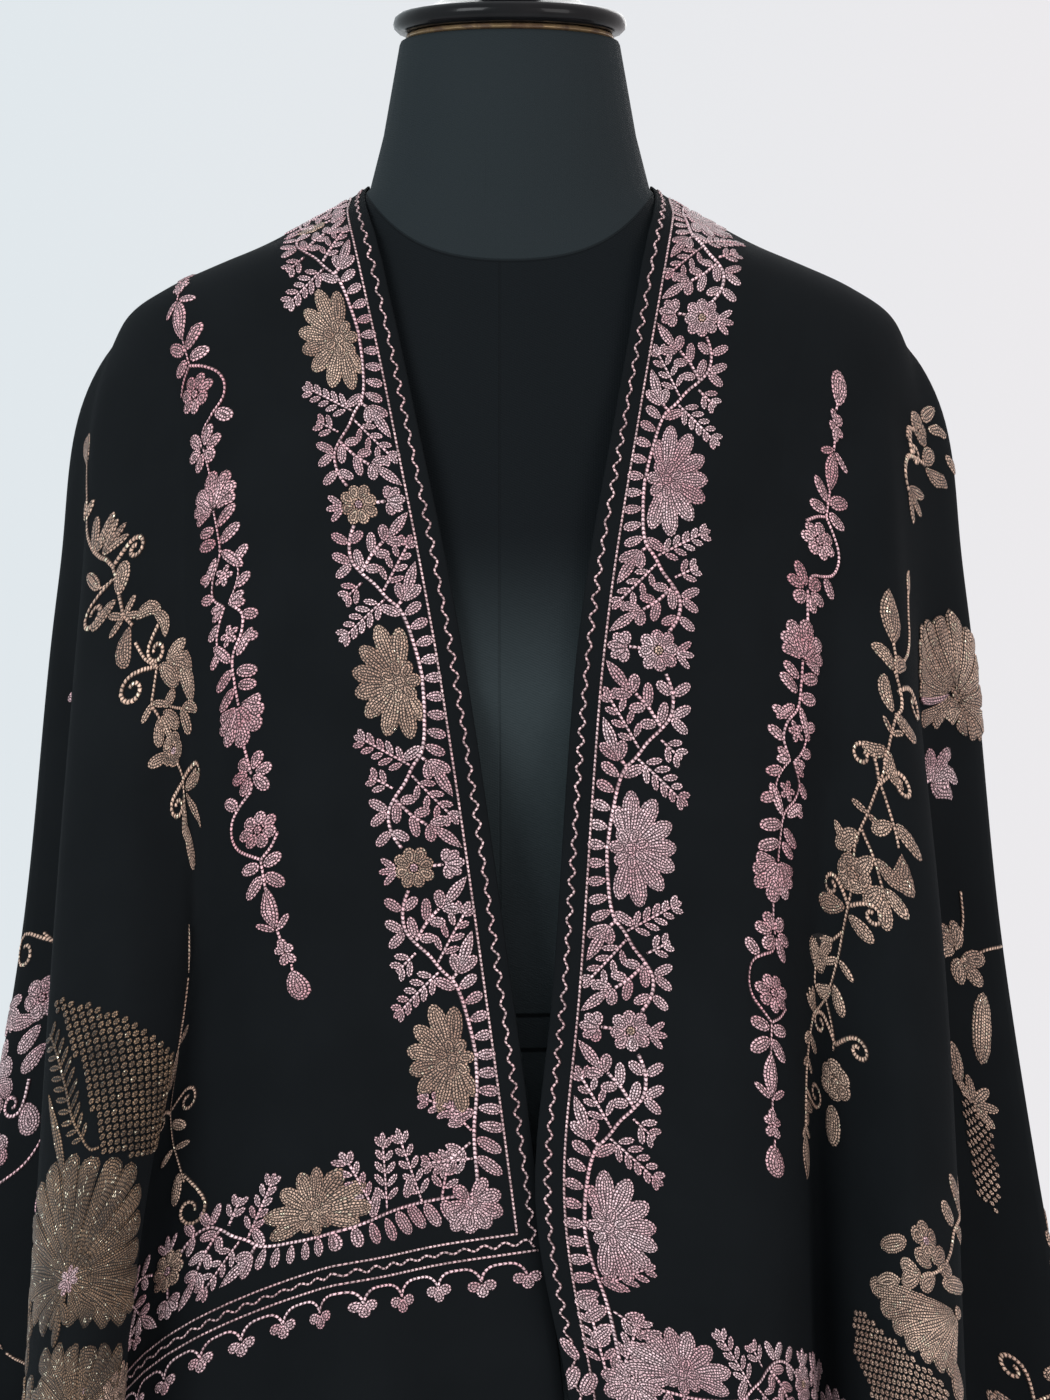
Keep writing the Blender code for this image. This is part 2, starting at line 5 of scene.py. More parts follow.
import bpy
import numpy as np
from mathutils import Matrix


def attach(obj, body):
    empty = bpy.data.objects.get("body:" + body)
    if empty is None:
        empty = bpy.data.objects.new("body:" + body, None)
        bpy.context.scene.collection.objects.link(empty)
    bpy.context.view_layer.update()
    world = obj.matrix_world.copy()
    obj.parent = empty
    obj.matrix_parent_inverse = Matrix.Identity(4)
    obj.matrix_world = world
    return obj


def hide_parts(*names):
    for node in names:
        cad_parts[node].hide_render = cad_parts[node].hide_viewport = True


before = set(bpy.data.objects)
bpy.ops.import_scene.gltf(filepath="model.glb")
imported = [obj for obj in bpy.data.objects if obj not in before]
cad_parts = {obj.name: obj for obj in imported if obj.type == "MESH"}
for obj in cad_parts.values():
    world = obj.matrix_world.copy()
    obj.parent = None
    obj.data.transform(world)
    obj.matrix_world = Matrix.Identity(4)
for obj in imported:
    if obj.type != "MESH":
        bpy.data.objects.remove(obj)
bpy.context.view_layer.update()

# ---- the cloth as it was cut ----
CLOTH_WIDTH = 0.70
LENGTH_TO_END = {"left": 0.855, "right": 0.945}    # from the middle of the back to either end
SHOULDER_WIDTH = 0.175                             # of the cloth's width, lies on the shoulder line
CLEARANCE = 0.0068                                 # from the form to the middle of the cloth
SNUG = 0.0012                                      # the same, where the cloth's tips lie on the neck
SNUG_HEIGHT, SNUG_FADE = 1.393, 0.028              # where it is snug, and how far below that it is clear
LIFT_PASSES = 4
SOFTNESS = 0.0040                                  # how gradually the cloth meets the form
BIAS_STRETCH = 0.08                                # cloth hanging at 45 degrees to its threads
ANGLE_SPREAD = 0.5                                 # metres down the fall lines where they are evenly measured
SHOULDER_ROUND = (0.25, 0.38, 0.22)                # turn of a fall line over the shoulder: out, forward, down
PROBE = 0.001                                      # step for the slope of the form's surface
CLOTH_WALL = 0.0014                                # the fine cloth is thinner than its solid
FRONT_COLUMNS = 9                                  # grid lines of the fine cloth between fall lines
BACK_COLUMNS = 8
ROWS_DOWN = 115
ROW_CROWDING = 1.15                                # rows stand closer near the shoulder
SMOOTH_PASSES = 12
SMOOTH_SHARE = 0.5
HALVINGS = 26                                      # steps of the search for a place's fall line
ON_SEAM = 1e-5                                     # a measure this near the side seam lies on the back

CURVE_STEPS = 60
CORNER_STEPS = 400
# Form: height, half width, depth in front of the middle, depth behind it
FORM_ROWS = (
    (0.745, 0.1600, 0.1040, 0.1120),
    (0.760, 0.1660, 0.1095, 0.1180),
    (0.800, 0.1670, 0.1105, 0.1200),
    (0.860, 0.1560, 0.1060, 0.1140),
    (0.920, 0.1350, 0.0980, 0.1020),
    (0.983, 0.1160, 0.0920, 0.0900),
    (1.040, 0.1220, 0.0980, 0.0940),
    (1.100, 0.1380, 0.1110, 0.1010),
    (1.150, 0.1520, 0.1200, 0.1060),
    (1.200, 0.1700, 0.1180, 0.1080),
    (1.240, 0.1890, 0.1110, 0.1070),
    (1.270, 0.2010, 0.1040, 0.1050),
    (1.295, 0.2030, 0.0970, 0.1020),
    (1.315, 0.1985, 0.0910, 0.0990),
    (1.331, 0.1880, 0.0860, 0.0960),
    (1.345, 0.1640, 0.0820, 0.0930),
    (1.358, 0.1340, 0.0770, 0.0890),
    (1.369, 0.1080, 0.0735, 0.0850),
    (1.381, 0.0880, 0.0710, 0.0800),
    (1.398, 0.0720, 0.0685, 0.0725),
    (1.425, 0.0650, 0.0640, 0.0650),
    (1.450, 0.0605, 0.0600, 0.0605),
    (1.473, 0.0563, 0.0563, 0.0563),
)
BUST_HEIGHT = 1.145
BUST_REACH = 0.026
BUST_TURN = 0.62                                   # radians to either side of the front
BUST_SPREAD = 0.42
BUST_TALL = 0.055

# Shoulder line, from the side of the neck to the tip: outward, forward-back, height
SHOULDER_LINE = (
    (0.0722, 0.000, 1.3985),
    (0.1050, 0.000, 1.3785),
    (0.1400, 0.000, 1.3635),
    (0.1720, 0.001, 1.3485),
    (0.1955, 0.003, 1.3315),
    (0.2100, 0.006, 1.3120),
)
# Neck edge behind the neck, from the side of the neck to the middle of the back
NECK_LINE = (
    (0.0722, 0.000, 1.3985),
    (0.0740, 0.026, 1.3965),
    (0.0740, 0.055, 1.3880),
    (0.0600, 0.085, 1.3740),
    (0.0320, 0.102, 1.3650),
    (0.0000, 0.1075, 1.3620),
)
# Where the shoulder line lies in the cloth: width from the neck edge, length from the middle of the back
SHOULDER_IN_CLOTH = ((0.0, 0.180), (0.05, 0.198), (0.10, 0.215), (0.14, 0.213), (0.175, 0.195))

# Fall lines of the fronts: name, width where it leaves the shoulder line, angle in the cloth (0 runs
# along the length), then outward and forward-back at each of these heights
LEVELS = (1.30, 1.20, 1.00, 0.90, 0.80, 0.50)
FRONT_LEFT = (
    ("front edge", 0.000, 0.0,
     (0.0500, -0.100), (0.0285, -0.129), (-0.0015, -0.1345),
     (-0.0145, -0.1335), (-0.0265, -0.133), (-0.0450, -0.133)),
    ("band", 0.045, 0.0,
     (0.0930, -0.090), (0.0760, -0.126), (0.0480, -0.1375),
     (0.0355, -0.138), (0.0240, -0.139), (0.008, -0.140)),
    ("garland", 0.090, 1.0,
     (0.1320, -0.072), (0.1180, -0.110), (0.0930, -0.137),
     (0.0820, -0.142), (0.0750, -0.145), (0.062, -0.148)),
    ("inner valley", 0.120, 11.0,
     (0.1640, -0.052), (0.1620, -0.086), (0.1580, -0.107),
     (0.1840, -0.098), (0.2000, -0.097), (0.212, -0.095)),
    ("ridge inner edge", 0.128, 14.5,
     (0.1760, -0.049), (0.1750, -0.083), (0.1620, -0.118),
     (0.1780, -0.124), (0.1895, -0.128), (0.202, -0.130)),
    ("ridge", 0.137, 19.5,
     (0.1880, -0.042), (0.1930, -0.074), (0.1890, -0.134),
     (0.2030, -0.148), (0.2140, -0.155), (0.228, -0.162)),
    ("ridge outer edge", 0.150, 25.5,
     (0.2050, -0.027), (0.2155, -0.049), (0.2290, -0.106),
     (0.2355, -0.113), (0.2410, -0.118), (0.262, -0.130)),
    ("outer valley", 0.160, 34.5,
     (0.2110, -0.014), (0.2150, -0.030), (0.1980, -0.048),
     (0.2000, -0.048), (0.2030, -0.048), (0.220, -0.055)),
    ("side ridge", 0.168, 46.5,
     (0.2165, 0.000), (0.2345, -0.004), (0.2610, -0.008),
     (0.2800, -0.010), (0.2990, -0.012), (0.340, -0.015)),
    ("side valley", 0.175, 57.5,
     (0.2150, 0.013), (0.2220, 0.024), (0.2080, 0.038),
     (0.2140, 0.043), (0.2220, 0.047), (0.245, 0.056)),
)
FRONT_RIGHT = (
    ("front edge", 0.000, 0.0,
     (0.0555, -0.098), (0.0375, -0.128), (0.0215, -0.137),
     (0.0135, -0.140), (0.0305, -0.141), (0.0450, -0.142)),
    ("band", 0.045, 0.0,
     (0.0980, -0.088), (0.0850, -0.125), (0.0710, -0.140),
     (0.0650, -0.144), (0.0790, -0.146), (0.095, -0.148)),
    ("garland", 0.095, 1.0,
     (0.1400, -0.068), (0.1310, -0.103), (0.1200, -0.135),
     (0.1180, -0.142), (0.1280, -0.147), (0.140, -0.150)),
    ("inner valley edge", 0.108, 4.0,
     (0.1530, -0.060), (0.1480, -0.094), (0.1370, -0.124),
     (0.1415, -0.124), (0.1475, -0.122), (0.160, -0.124)),
    ("inner valley", 0.122, 9.0,
     (0.1660, -0.052), (0.1650, -0.084), (0.1520, -0.104),
     (0.1540, -0.088), (0.1560, -0.077), (0.170, -0.070)),
    ("ridge", 0.138, 16.5,
     (0.1880, -0.042), (0.1930, -0.072), (0.1920, -0.128),
     (0.1950, -0.136), (0.1980, -0.140), (0.215, -0.145)),
    ("ridge outer edge", 0.150, 21.5,
     (0.1990, -0.029), (0.2010, -0.052), (0.2175, -0.104),
     (0.2240, -0.108), (0.2290, -0.110), (0.250, -0.118)),
    ("outer valley", 0.160, 30.5,
     (0.2090, -0.014), (0.2130, -0.030), (0.1950, -0.046),
     (0.1950, -0.044), (0.1960, -0.042), (0.210, -0.050)),
    ("side ridge", 0.168, 43.0,
     (0.2175, 0.000), (0.2365, -0.002), (0.2630, -0.004),
     (0.2805, -0.006), (0.3000, -0.008), (0.340, -0.010)),
    ("side valley", 0.175, 55.0,
     (0.2155, 0.013), (0.2230, 0.024), (0.2120, 0.040),
     (0.2150, 0.044), (0.2220, 0.050), (0.245, 0.060)),
)
# Fall lines of the back: name, share of the way from the middle of the back to the shoulder line, angle
# in the cloth, the place where it leaves the shoulder blades, then outward and forward-back at each height
BACK_LEVELS = (1.10, 0.95, 0.80, 0.50)
BACK = (
    ("middle", 0.00, 90.0, (0.000, 0.1180, 1.192),
     (0.000, 0.1280), (0.000, 0.1340), (0.000, 0.1390), (0.000, 0.145)),
    ("middle ridge", 0.28, 89.5, (0.060, 0.1160, 1.200),
     (0.060, 0.1250), (0.058, 0.1370), (0.058, 0.1460), (0.060, 0.155)),
    ("back dip", 0.56, 87.0, (0.122, 0.1070, 1.225),
     (0.122, 0.1110), (0.122, 0.1190), (0.126, 0.1250), (0.132, 0.130)),
    ("back fold", 0.74, 82.5, (0.160, 0.0940, 1.254),
     (0.162, 0.1190), (0.164, 0.1450), (0.170, 0.1600), (0.180, 0.175)),
    ("back valley", 0.87, 75.5, (0.189, 0.0680, 1.280),
     (0.189, 0.0900), (0.192, 0.1080), (0.200, 0.1140), (0.212, 0.120)),
    ("back ridge", 0.95, 67.0, (0.205, 0.0380, 1.299),
     (0.230, 0.0730), (0.249, 0.0930), (0.272, 0.1090), (0.310, 0.130)),
)


def spline(knots, values, places):
    """A smooth curve through values at rising knots, read at the places."""
    knots = np.asarray(knots, dtype=float)
    values = np.asarray(values, dtype=float)
    places = np.atleast_1d(np.asarray(places, dtype=float))
    slopes = np.gradient(values, knots, axis=0)
    first = np.clip(np.searchsorted(knots, places, side="right") - 1, 0, len(knots) - 2)
    span = knots[first + 1] - knots[first]
    along = (places - knots[first]) / span
    shape = (-1,) + (1,) * (values.ndim - 1)
    u = along.reshape(shape)
    span = span.reshape(shape)
    start = (2 * u ** 3 - 3 * u ** 2 + 1) * values[first] + (u ** 3 - 2 * u ** 2 + u) * span * slopes[first]
    end = (3 * u ** 2 - 2 * u ** 3) * values[first + 1] + (u ** 3 - u ** 2) * span * slopes[first + 1]
    return start + end


def lengths_along(points):
    """Distance of each point from the first, along the curve."""
    steps = np.linalg.norm(np.diff(points, axis=0), axis=1)
    return np.concatenate(([0.0], np.cumsum(steps)))


def smooth_curve(points, steps=CURVE_STEPS):
    """A fine polyline through a few points, by their distances."""
    points = np.asarray(points, dtype=float)
    along = lengths_along(points)
    return spline(along, points, np.linspace(0.0, along[-1], steps))


def walk(curve, distances):
    """Points at the distances along a fine polyline, carried straight on past its end."""
    along = lengths_along(curve)
    inside = np.minimum(distances, along[-1])
    points = np.stack([np.interp(inside, along, curve[:, axis]) for axis in range(3)], axis=1)
    heading = (curve[-1] - curve[-2]) / np.linalg.norm(curve[-1] - curve[-2])
    return points + (distances - inside)[:, None] * heading


# ---- the form's surface ----
def form_radius(turn, height):
    """Distance of the form's surface from its upright axis; turn is measured from the front."""
    rows = np.array(FORM_ROWS)
    height = np.clip(height, rows[0, 0], rows[-1, 0])
    wide, front, back = np.moveaxis(spline(rows[:, 0], rows[:, 1:], height.ravel()), 1, 0)
    turn_flat = turn.ravel()
    deep = np.where(np.cos(turn_flat) > 0.0, front, back)
    oval = 1.0 / np.sqrt((np.sin(turn_flat) / wide) ** 2 + (np.cos(turn_flat) / deep) ** 2)
    bust_row = np.exp(-((height.ravel() - BUST_HEIGHT) / BUST_TALL) ** 2)
    swell = sum(np.exp(-((turn_flat - side * BUST_TURN) / BUST_SPREAD) ** 2) for side in (-1.0, 1.0))
    return (oval + BUST_REACH * bust_row * swell).reshape(turn.shape)


def form_gap(points):
    """How far points stand outside the form, measured level."""
    turn = np.arctan2(points[..., 0], -points[..., 1])
    return np.hypot(points[..., 0], points[..., 1]) - form_radius(turn, points[..., 2])


def lift_clear(points):
    """Move points out along the form's normal until they clear it."""
    for _ in range(LIFT_PASSES):
        gap = form_gap(points)
        slope = np.stack([(form_gap(points + offset) - gap) / PROBE for offset in np.eye(3) * PROBE], axis=-1)
        steep = np.linalg.norm(slope, axis=-1)
        clear = SNUG + (CLEARANCE - SNUG) * np.clip((SNUG_HEIGHT - points[..., 2]) / SNUG_FADE, 0.0, 1.0)
        short = clear - gap / steep
        lift = (short + np.sqrt(short ** 2 + SOFTNESS ** 2)) / 2.0 - SOFTNESS / 2.0
        points = points + (np.maximum(lift, 0.0) / steep)[..., None] * slope
    return points


# ---- fall lines ----
def front_knots(table):
    """A rising measure across the front's fall lines: how far apart they have spread lower down."""
    return [row[1] + ANGLE_SPREAD * radians(row[2]) for row in table]


def shoulder_point(width):
    """Place on the shoulder line of a width from the neck edge."""
    curve = smooth_curve(SHOULDER_LINE)
    share = np.asarray(width) / SHOULDER_WIDTH
    return walk(curve, np.atleast_1d(share) * lengths_along(curve)[-1])


def front_fall_lines(table):
    """Each front fall line of the table as a fine curve."""
    curves = []
    for _, width, _, *places in table:
        top = shoulder_point(width)[0]
        lower = np.array([(x, y, z) for (x, y), z in zip(places, LEVELS)])
        over = top + (lower[0] - top) * SHOULDER_ROUND
        curves.append(smooth_curve([top, over, *lower]))
    return curves


def front_surface(table, measures, distances):
    """Places on a front: measures pick the fall lines, distances run down each one."""
    curves = front_fall_lines(table)
    knots = front_knots(table)
    lines = []
    for column, measure in enumerate(measures):
        across = np.stack([walk(curve, distances[column]) for curve in curves])
        lines.append(spline(knots, across, [measure])[0])
    return lift_clear(np.stack(lines))


def front_ray(table, measures):
    """Shoulder width, start along the cloth and angle of the fall lines at these measures."""
    knots = front_knots(table)
    width = np.interp(measures, knots, [row[1] for row in table])
    angle = np.radians(np.interp(measures, knots, [row[2] for row in table]))
    return width, np.interp(width, *zip(*SHOULDER_IN_CLOTH)), angle


def bias_stretch(angle):
    """How much longer cloth hangs at an angle to its threads."""
    return 1.0 + BIAS_STRETCH * np.sin(2.0 * angle) ** 2


def front_reach(table, measures, side):
    """Cloth distance and real distance from the shoulder line to the edge, down each fall line."""
    width, start, angle = front_ray(table, measures)
    to_end = (LENGTH_TO_END[side] - start) / np.maximum(np.cos(angle), 1e-6)
    to_hem = (CLOTH_WIDTH - width) / np.maximum(np.sin(angle), 1e-6)
    return np.minimum(to_end, to_hem), bias_stretch(angle)


def corner_measure(table, side):
    """The measure of the fall line that ends at the cloth's corner."""
    knots = front_knots(table)
    fine = np.linspace(knots[0], knots[-1], CORNER_STEPS)
    width, start, angle = front_ray(table, fine)
    past = np.tan(angle) * (LENGTH_TO_END[side] - start) - (CLOTH_WIDTH - width)
    return fine[np.argmax(past > 0.0)]


def back_fall_lines(table):
    """Each back fall line as a curve from the neck edge, with its length down to the shoulder blades."""
    neck = smooth_curve(NECK_LINE)
    neck_length = lengths_along(neck)[-1]
    curves = []
    for _, share, _, blade, *places in BACK:
        top = walk(neck, np.array([(1.0 - share) * neck_length]))[0]
        middle = lift_clear((top + np.array(blade)) / 2.0)
        lower = [(x, y, z) for (x, y), z in zip(places, BACK_LEVELS)]
        curve = smooth_curve([top, middle, blade] + lower, 2 * CURVE_STEPS)
        curves.append((curve, lengths_along(curve)[np.argmin(np.linalg.norm(curve - blade, axis=1))]))
    yoke = shoulder_point(np.linspace(0.0, SHOULDER_WIDTH, CURVE_STEPS))
    curves.append((np.concatenate([yoke, front_fall_lines(table)[-1][1:]]), lengths_along(yoke)[-1]))
    return curves, [row[1] for row in BACK] + [1.0], [row[2] for row in BACK] + [table[-1][2]]


def back_surface(table, shares, widths):
    """Places on the back: shares pick the fall lines, widths run down from the neck edge."""
    curves, knots, _ = back_fall_lines(table)
    lines = []
    for column, share in enumerate(shares):
        on_yoke = np.minimum(widths[column], SHOULDER_WIDTH) / SHOULDER_WIDTH
        below = np.maximum(widths[column] - SHOULDER_WIDTH, 0.0)
        across = np.stack([walk(curve, on_yoke * blade + below) for curve, blade in curves])
        lines.append(spline(knots, across, [share])[0])
    return lift_clear(np.stack(lines))


# ---- the cloth as one fine surface ----
def unit(vectors):
    """The vectors' directions."""
    return vectors / np.linalg.norm(vectors, axis=-1, keepdims=True)


def steps_between(knots, steps):
    """Places from knot to knot, the same number of steps in each stretch."""
    stretches = [np.linspace(low, high, steps, endpoint=False) for low, high in zip(knots, knots[1:])]
    return np.append(np.concatenate(stretches), knots[-1])


def halved(short, like, high):
    """For each entry of like, the place between 0 and high where short stops being true."""
    low = np.zeros_like(like)
    high = np.full_like(like, high)
    for _ in range(HALVINGS):
        middle = (low + high) / 2.0
        below = short(middle)
        low = np.where(below, middle, low)
        high = np.where(below, high, middle)
    return (low + high) / 2.0


def steps_at(places, knots):
    """How many knots, and parts of the way to the next, each place is past the first knot."""
    return np.interp(places, knots, np.arange(len(knots)))


class Half:
    """One front with its half of the back, outward to +X; a place is (s, w) in the cloth."""

    def __init__(self, table, side):
        self.table = table
        self.knots = front_knots(table)
        self.side = side
        self.down = np.linspace(0.0, 1.0, ROWS_DOWN + 1) ** ROW_CROWDING
        self.measures = steps_between(self.knots, FRONT_COLUMNS)
        corner = corner_measure(table, side)
        self.measures[np.argmin(abs(self.measures - corner))] = corner
        _, self.share_knots, self.share_angles = back_fall_lines(table)
        self.shares = steps_between(self.share_knots, BACK_COLUMNS)
        self.lay_front()
        self.lay_back()

    def back_ray(self, shares):
        """Start along the cloth and angle of the back's fall lines below the yoke."""
        angle = np.radians(np.interp(shares, self.share_knots, self.share_angles))
        return SHOULDER_IN_CLOTH[-1][1] * np.asarray(shares), angle

    def lay_front(self):
        """Places and cloth coordinates of the front's grid, a column for each measure."""
        width, start, angle = front_ray(self.table, self.measures)
        reach, stretch = front_reach(self.table, self.measures, self.side)
        self.front = front_surface(self.table, self.measures, (reach * stretch)[:, None] * self.down)
        along = start[:, None] + (reach * np.cos(angle))[:, None] * self.down
        across = width[:, None] + (reach * np.sin(angle))[:, None] * self.down
        self.front_cloth = np.stack([along, across], axis=-1)

    def lay_back(self):
        """The same for this half of the back, a column for each share."""
        yoke, start_here, _ = front_ray(self.table, self.measures)
        start, angle = self.back_ray(self.shares)
        fall = (CLOTH_WIDTH - SHOULDER_WIDTH) / np.sin(angle)
        below = SHOULDER_WIDTH + (fall * bias_stretch(angle))[:, None] * self.down[1:]
        widths = np.concatenate([np.tile(yoke, (len(self.shares), 1)), below], axis=1)
        self.back = back_surface(self.table, self.shares, widths)
        self.back[-1] = np.concatenate([self.front[:, 0], self.front[-1, 1:]])
        along_yoke = self.shares[:, None] * start_here
        along = start[:, None] + (fall * np.cos(angle))[:, None] * self.down[1:]
        across = SHOULDER_WIDTH + (fall * np.sin(angle))[:, None] * self.down[1:]
        self.back_cloth = np.stack([np.concatenate([along_yoke, along], axis=1),
                                    np.concatenate([np.tile(yoke, (len(self.shares), 1)), across], axis=1)], axis=-1)

    def number(self, first, middle):
        """Give every place of the half a vertex number; the middle of the back may have numbers already."""
        shape = self.front.shape[:2]
        self.front_ids = first + np.arange(shape[0] * shape[1]).reshape(shape)
        first += self.front_ids.size
        columns, rows = self.back.shape[:2]
        self.back_ids = np.zeros((columns, rows), dtype=int)
        self.back_ids[-1] = np.concatenate([self.front_ids[:, 0], self.front_ids[-1, 1:]])
        self.first_back = 0
        if middle is not None:
            self.back_ids[0] = middle
            self.first_back = 1
        inner = np.arange((columns - 1 - self.first_back) * rows).reshape(-1, rows)
        self.back_ids[self.first_back:-1] = first + inner
        return first + inner.size

    def find_front(self, s, w):
        """Whether places lie on the front, and their columns and rows there."""
        def short(measure):
            width, start, angle = front_ray(self.table, measure)
            return width + (s - start) * np.tan(angle) < w

        measure = halved(short, s, self.knots[-1])
        _, start, angle = front_ray(self.table, measure)
        reach, _ = front_reach(self.table, measure, self.side)
        down = np.clip((s - start) / np.cos(angle) / reach, 0.0, 1.0)
        in_front = (s >= start) & (measure < self.knots[-1] - ON_SEAM)
        return in_front, steps_at(measure, self.measures), steps_at(down, self.down)

    def find_back(self, s, w):
        """Columns and rows of places on the back."""
        def short(share):
            start, angle = self.back_ray(share)
            return start + (w - SHOULDER_WIDTH) / np.tan(angle) < s

        yoke, start_here, _ = front_ray(self.table, self.measures)
        on_yoke = w < SHOULDER_WIDTH
        share = np.where(on_yoke, np.clip(s / np.interp(w, yoke, start_here), 0.0, 1.0), halved(short, s, 1.0))
        down = (w - SHOULDER_WIDTH) / (CLOTH_WIDTH - SHOULDER_WIDTH)
        row = np.where(on_yoke, steps_at(w, yoke), len(yoke) - 1 + steps_at(down, self.down))
        return steps_at(share, self.shares), row

    def locate(self, s, w):
        """Four vertex numbers and their weights for each place in the cloth."""
        in_front, front_column, front_row = self.find_front(s, w)
        back_column, back_row = self.find_back(s, w)
        ids = np.zeros((4, len(s)), dtype=int)
        weights = np.zeros((4, len(s)))
        for mask, grid, column, row in ((in_front, self.front_ids, front_column, front_row),
                                        (~in_front, self.back_ids, back_column, back_row)):
            i = np.clip(column.astype(int), 0, grid.shape[0] - 2)
            j = np.clip(row.astype(int), 0, grid.shape[1] - 2)
            f, g = column - i, row - j
            corners = (((i, j), (1 - f) * (1 - g)), ((i + 1, j), f * (1 - g)),
                       ((i, j + 1), (1 - f) * g), ((i + 1, j + 1), f * g))
            for k, (place, weight) in enumerate(corners):
                ids[k] = np.where(mask, grid[place], ids[k])
                weights[k] = np.where(mask, weight, weights[k])
        return ids, weights


def strips(ids, flip):
    """Quads of a grid of vertex numbers."""
    quads = np.stack([ids[:-1, :-1], ids[:-1, 1:], ids[1:, 1:], ids[1:, :-1]], axis=-1).reshape(-1, 4)
    return quads[:, ::-1] if flip else quads


class Cloth:
    """The whole stole's middle surface, with its normals, its cloth coordinates and its faces."""

    def __init__(self):
        right = Half(FRONT_RIGHT, "right")
        left = Half(FRONT_LEFT, "left")
        count = right.number(0, None)
        count = left.number(count, right.back_ids[0])
        self.halves = {"right": right, "left": left}
        self.places = np.zeros((count, 3))
        self.cloth = np.zeros((count, 2))
        quads = []
        for half, sign in ((right, 1.0), (left, -1.0)):
            turn = np.array([sign, 1.0, 1.0])
            self.places[half.back_ids[half.first_back:]] = half.back[half.first_back:] * turn
            self.places[half.front_ids] = half.front * turn
            self.cloth[half.back_ids[half.first_back:]] = half.back_cloth[half.first_back:] * turn[:2]
            self.cloth[half.front_ids] = half.front_cloth * turn[:2]
            quads.append(strips(half.front_ids, sign < 0.0))
            quads.append(strips(half.back_ids, sign > 0.0))
        self.quads = np.concatenate(quads)
        self.find_edge()
        self.smooth()
        self.find_normals()

    def find_edge(self):
        """Edges used by one quad only, in order round the cloth, and every vertex's neighbours."""
        ends = np.stack([self.quads, np.roll(self.quads, -1, axis=1)], axis=-1).reshape(-1, 2)
        low, high = ends.min(axis=1), ends.max(axis=1)
        keys = low.astype(np.int64) * len(self.places) + high
        _, first, times = np.unique(keys, return_index=True, return_counts=True)
        self.links = ends[first]
        after = {int(a): int(b) for a, b in ends[first[times == 1]]}
        start = next(iter(after))
        rim = [start]
        while after[rim[-1]] != start:
            rim.append(after[rim[-1]])
        self.rim = np.array(rim)

    def smooth(self):
        """Ease the folds a little, most where the fall lines meet the seams of the grid."""
        free = np.ones(len(self.places), dtype=bool)
        free[self.rim] = False
        times = np.zeros(len(self.places))
        for a in (0, 1):
            np.add.at(times, self.links[:, a], 1.0)
        for _ in range(SMOOTH_PASSES):
            total = np.zeros_like(self.places)
            for a, b in ((0, 1), (1, 0)):
                np.add.at(total, self.links[:, a], self.places[self.links[:, b]])
            eased = self.places + SMOOTH_SHARE * (total / times[:, None] - self.places)
            self.places[free] = eased[free]

    def find_normals(self):
        corners = self.places[self.quads]
        face = np.cross(corners[:, 2] - corners[:, 0], corners[:, 3] - corners[:, 1])
        normals = np.zeros_like(self.places)
        for k in range(4):
            np.add.at(normals, self.quads[:, k], face)
        self.normals = unit(normals)

    def place(self, cloth, lift):
        """Positions of points given as (signed s, w), raised above the cloth's middle."""
        ids = np.zeros((4, len(cloth)), dtype=int)
        weights = np.zeros((4, len(cloth)))
        for name, mask in (("right", cloth[:, 0] >= 0.0), ("left", cloth[:, 0] < 0.0)):
            if mask.any():
                found, share = self.halves[name].locate(abs(cloth[mask, 0]), cloth[mask, 1])
                ids[:, mask], weights[:, mask] = found, share
        spots = (self.places[ids] * weights[..., None]).sum(axis=0)
        normals = unit((self.normals[ids] * weights[..., None]).sum(axis=0))
        return spots + normals * lift[:, None]


# ---- embroidery: raised shapes, drawn in the cloth's own plane in centimetres ----
LIFT = CLOTH_WALL / 2.0                            # the cloth's outer face above its middle
SUNK = 0.00018                                     # how far a shape's outline sinks into the cloth
THREAD_HEIGHT = 0.00085                            # of a filled shape over the cloth
CORD_HEIGHT = 0.00075
CORD_WIDTH = 0.16                                  # one row of chain stitch
CORD_STEP = 0.22
CORD_ROUND = 0.45                                  # where a cord's flat top begins, as a share of its half width
CURL_STEPS = 14
CORD_TINTS = (0.2, 0.8)
NARROWEST = 0.55                                   # how high the narrowest shapes are, as a share
SPINE_CUT = 0.92                                   # a round shape's spine is this much shorter than its length
CORD_TURNS = (0.0, 0.3, 0.85, 1.15)                # millimetres round a cord, for its stitches
STEM_WIDTH = 0.21
RING, RING_RISE = 0.30, 0.82                       # of a shape's ring: how far in, and how high
MILLIMETRES = 10.0                                 # in a centimetre
THREAD_PHASE = 40.0                                # a row of stitches starts anywhere in this many millimetres
SPRIG_LEAF, SPRIG_SPREAD = (0.92, 0.42), 0.85

# Outlines of petals and leaves: share of the length, share of the half width
OUTLINES = {
    "leaf": ((0.10, 0.42), (0.26, 0.82), (0.46, 1.00), (0.66, 0.86), (0.85, 0.48)),
    "oval": ((0.06, 0.48), (0.22, 0.86), (0.50, 1.00), (0.78, 0.86), (0.94, 0.48)),
    "petal": ((0.16, 0.34), (0.40, 0.68), (0.64, 0.95), (0.82, 1.00), (0.95, 0.60)),
    "strip": ((0.05, 0.18), (0.14, 0.32), (0.26, 0.45), (0.40, 0.59), (0.54, 0.73), (0.68, 0.85), (0.81, 0.95),
              (0.92, 1.00), (0.98, 0.66)),
    "round": ((0.08, 0.42), (0.28, 0.80), (0.55, 1.00), (0.80, 0.86), (0.95, 0.46)),
    "leaflet": ((0.14, 0.62), (0.48, 1.00), (0.84, 0.74)),
    "bead": ((0.146, 0.707), (0.50, 1.00), (0.854, 0.707)),
}


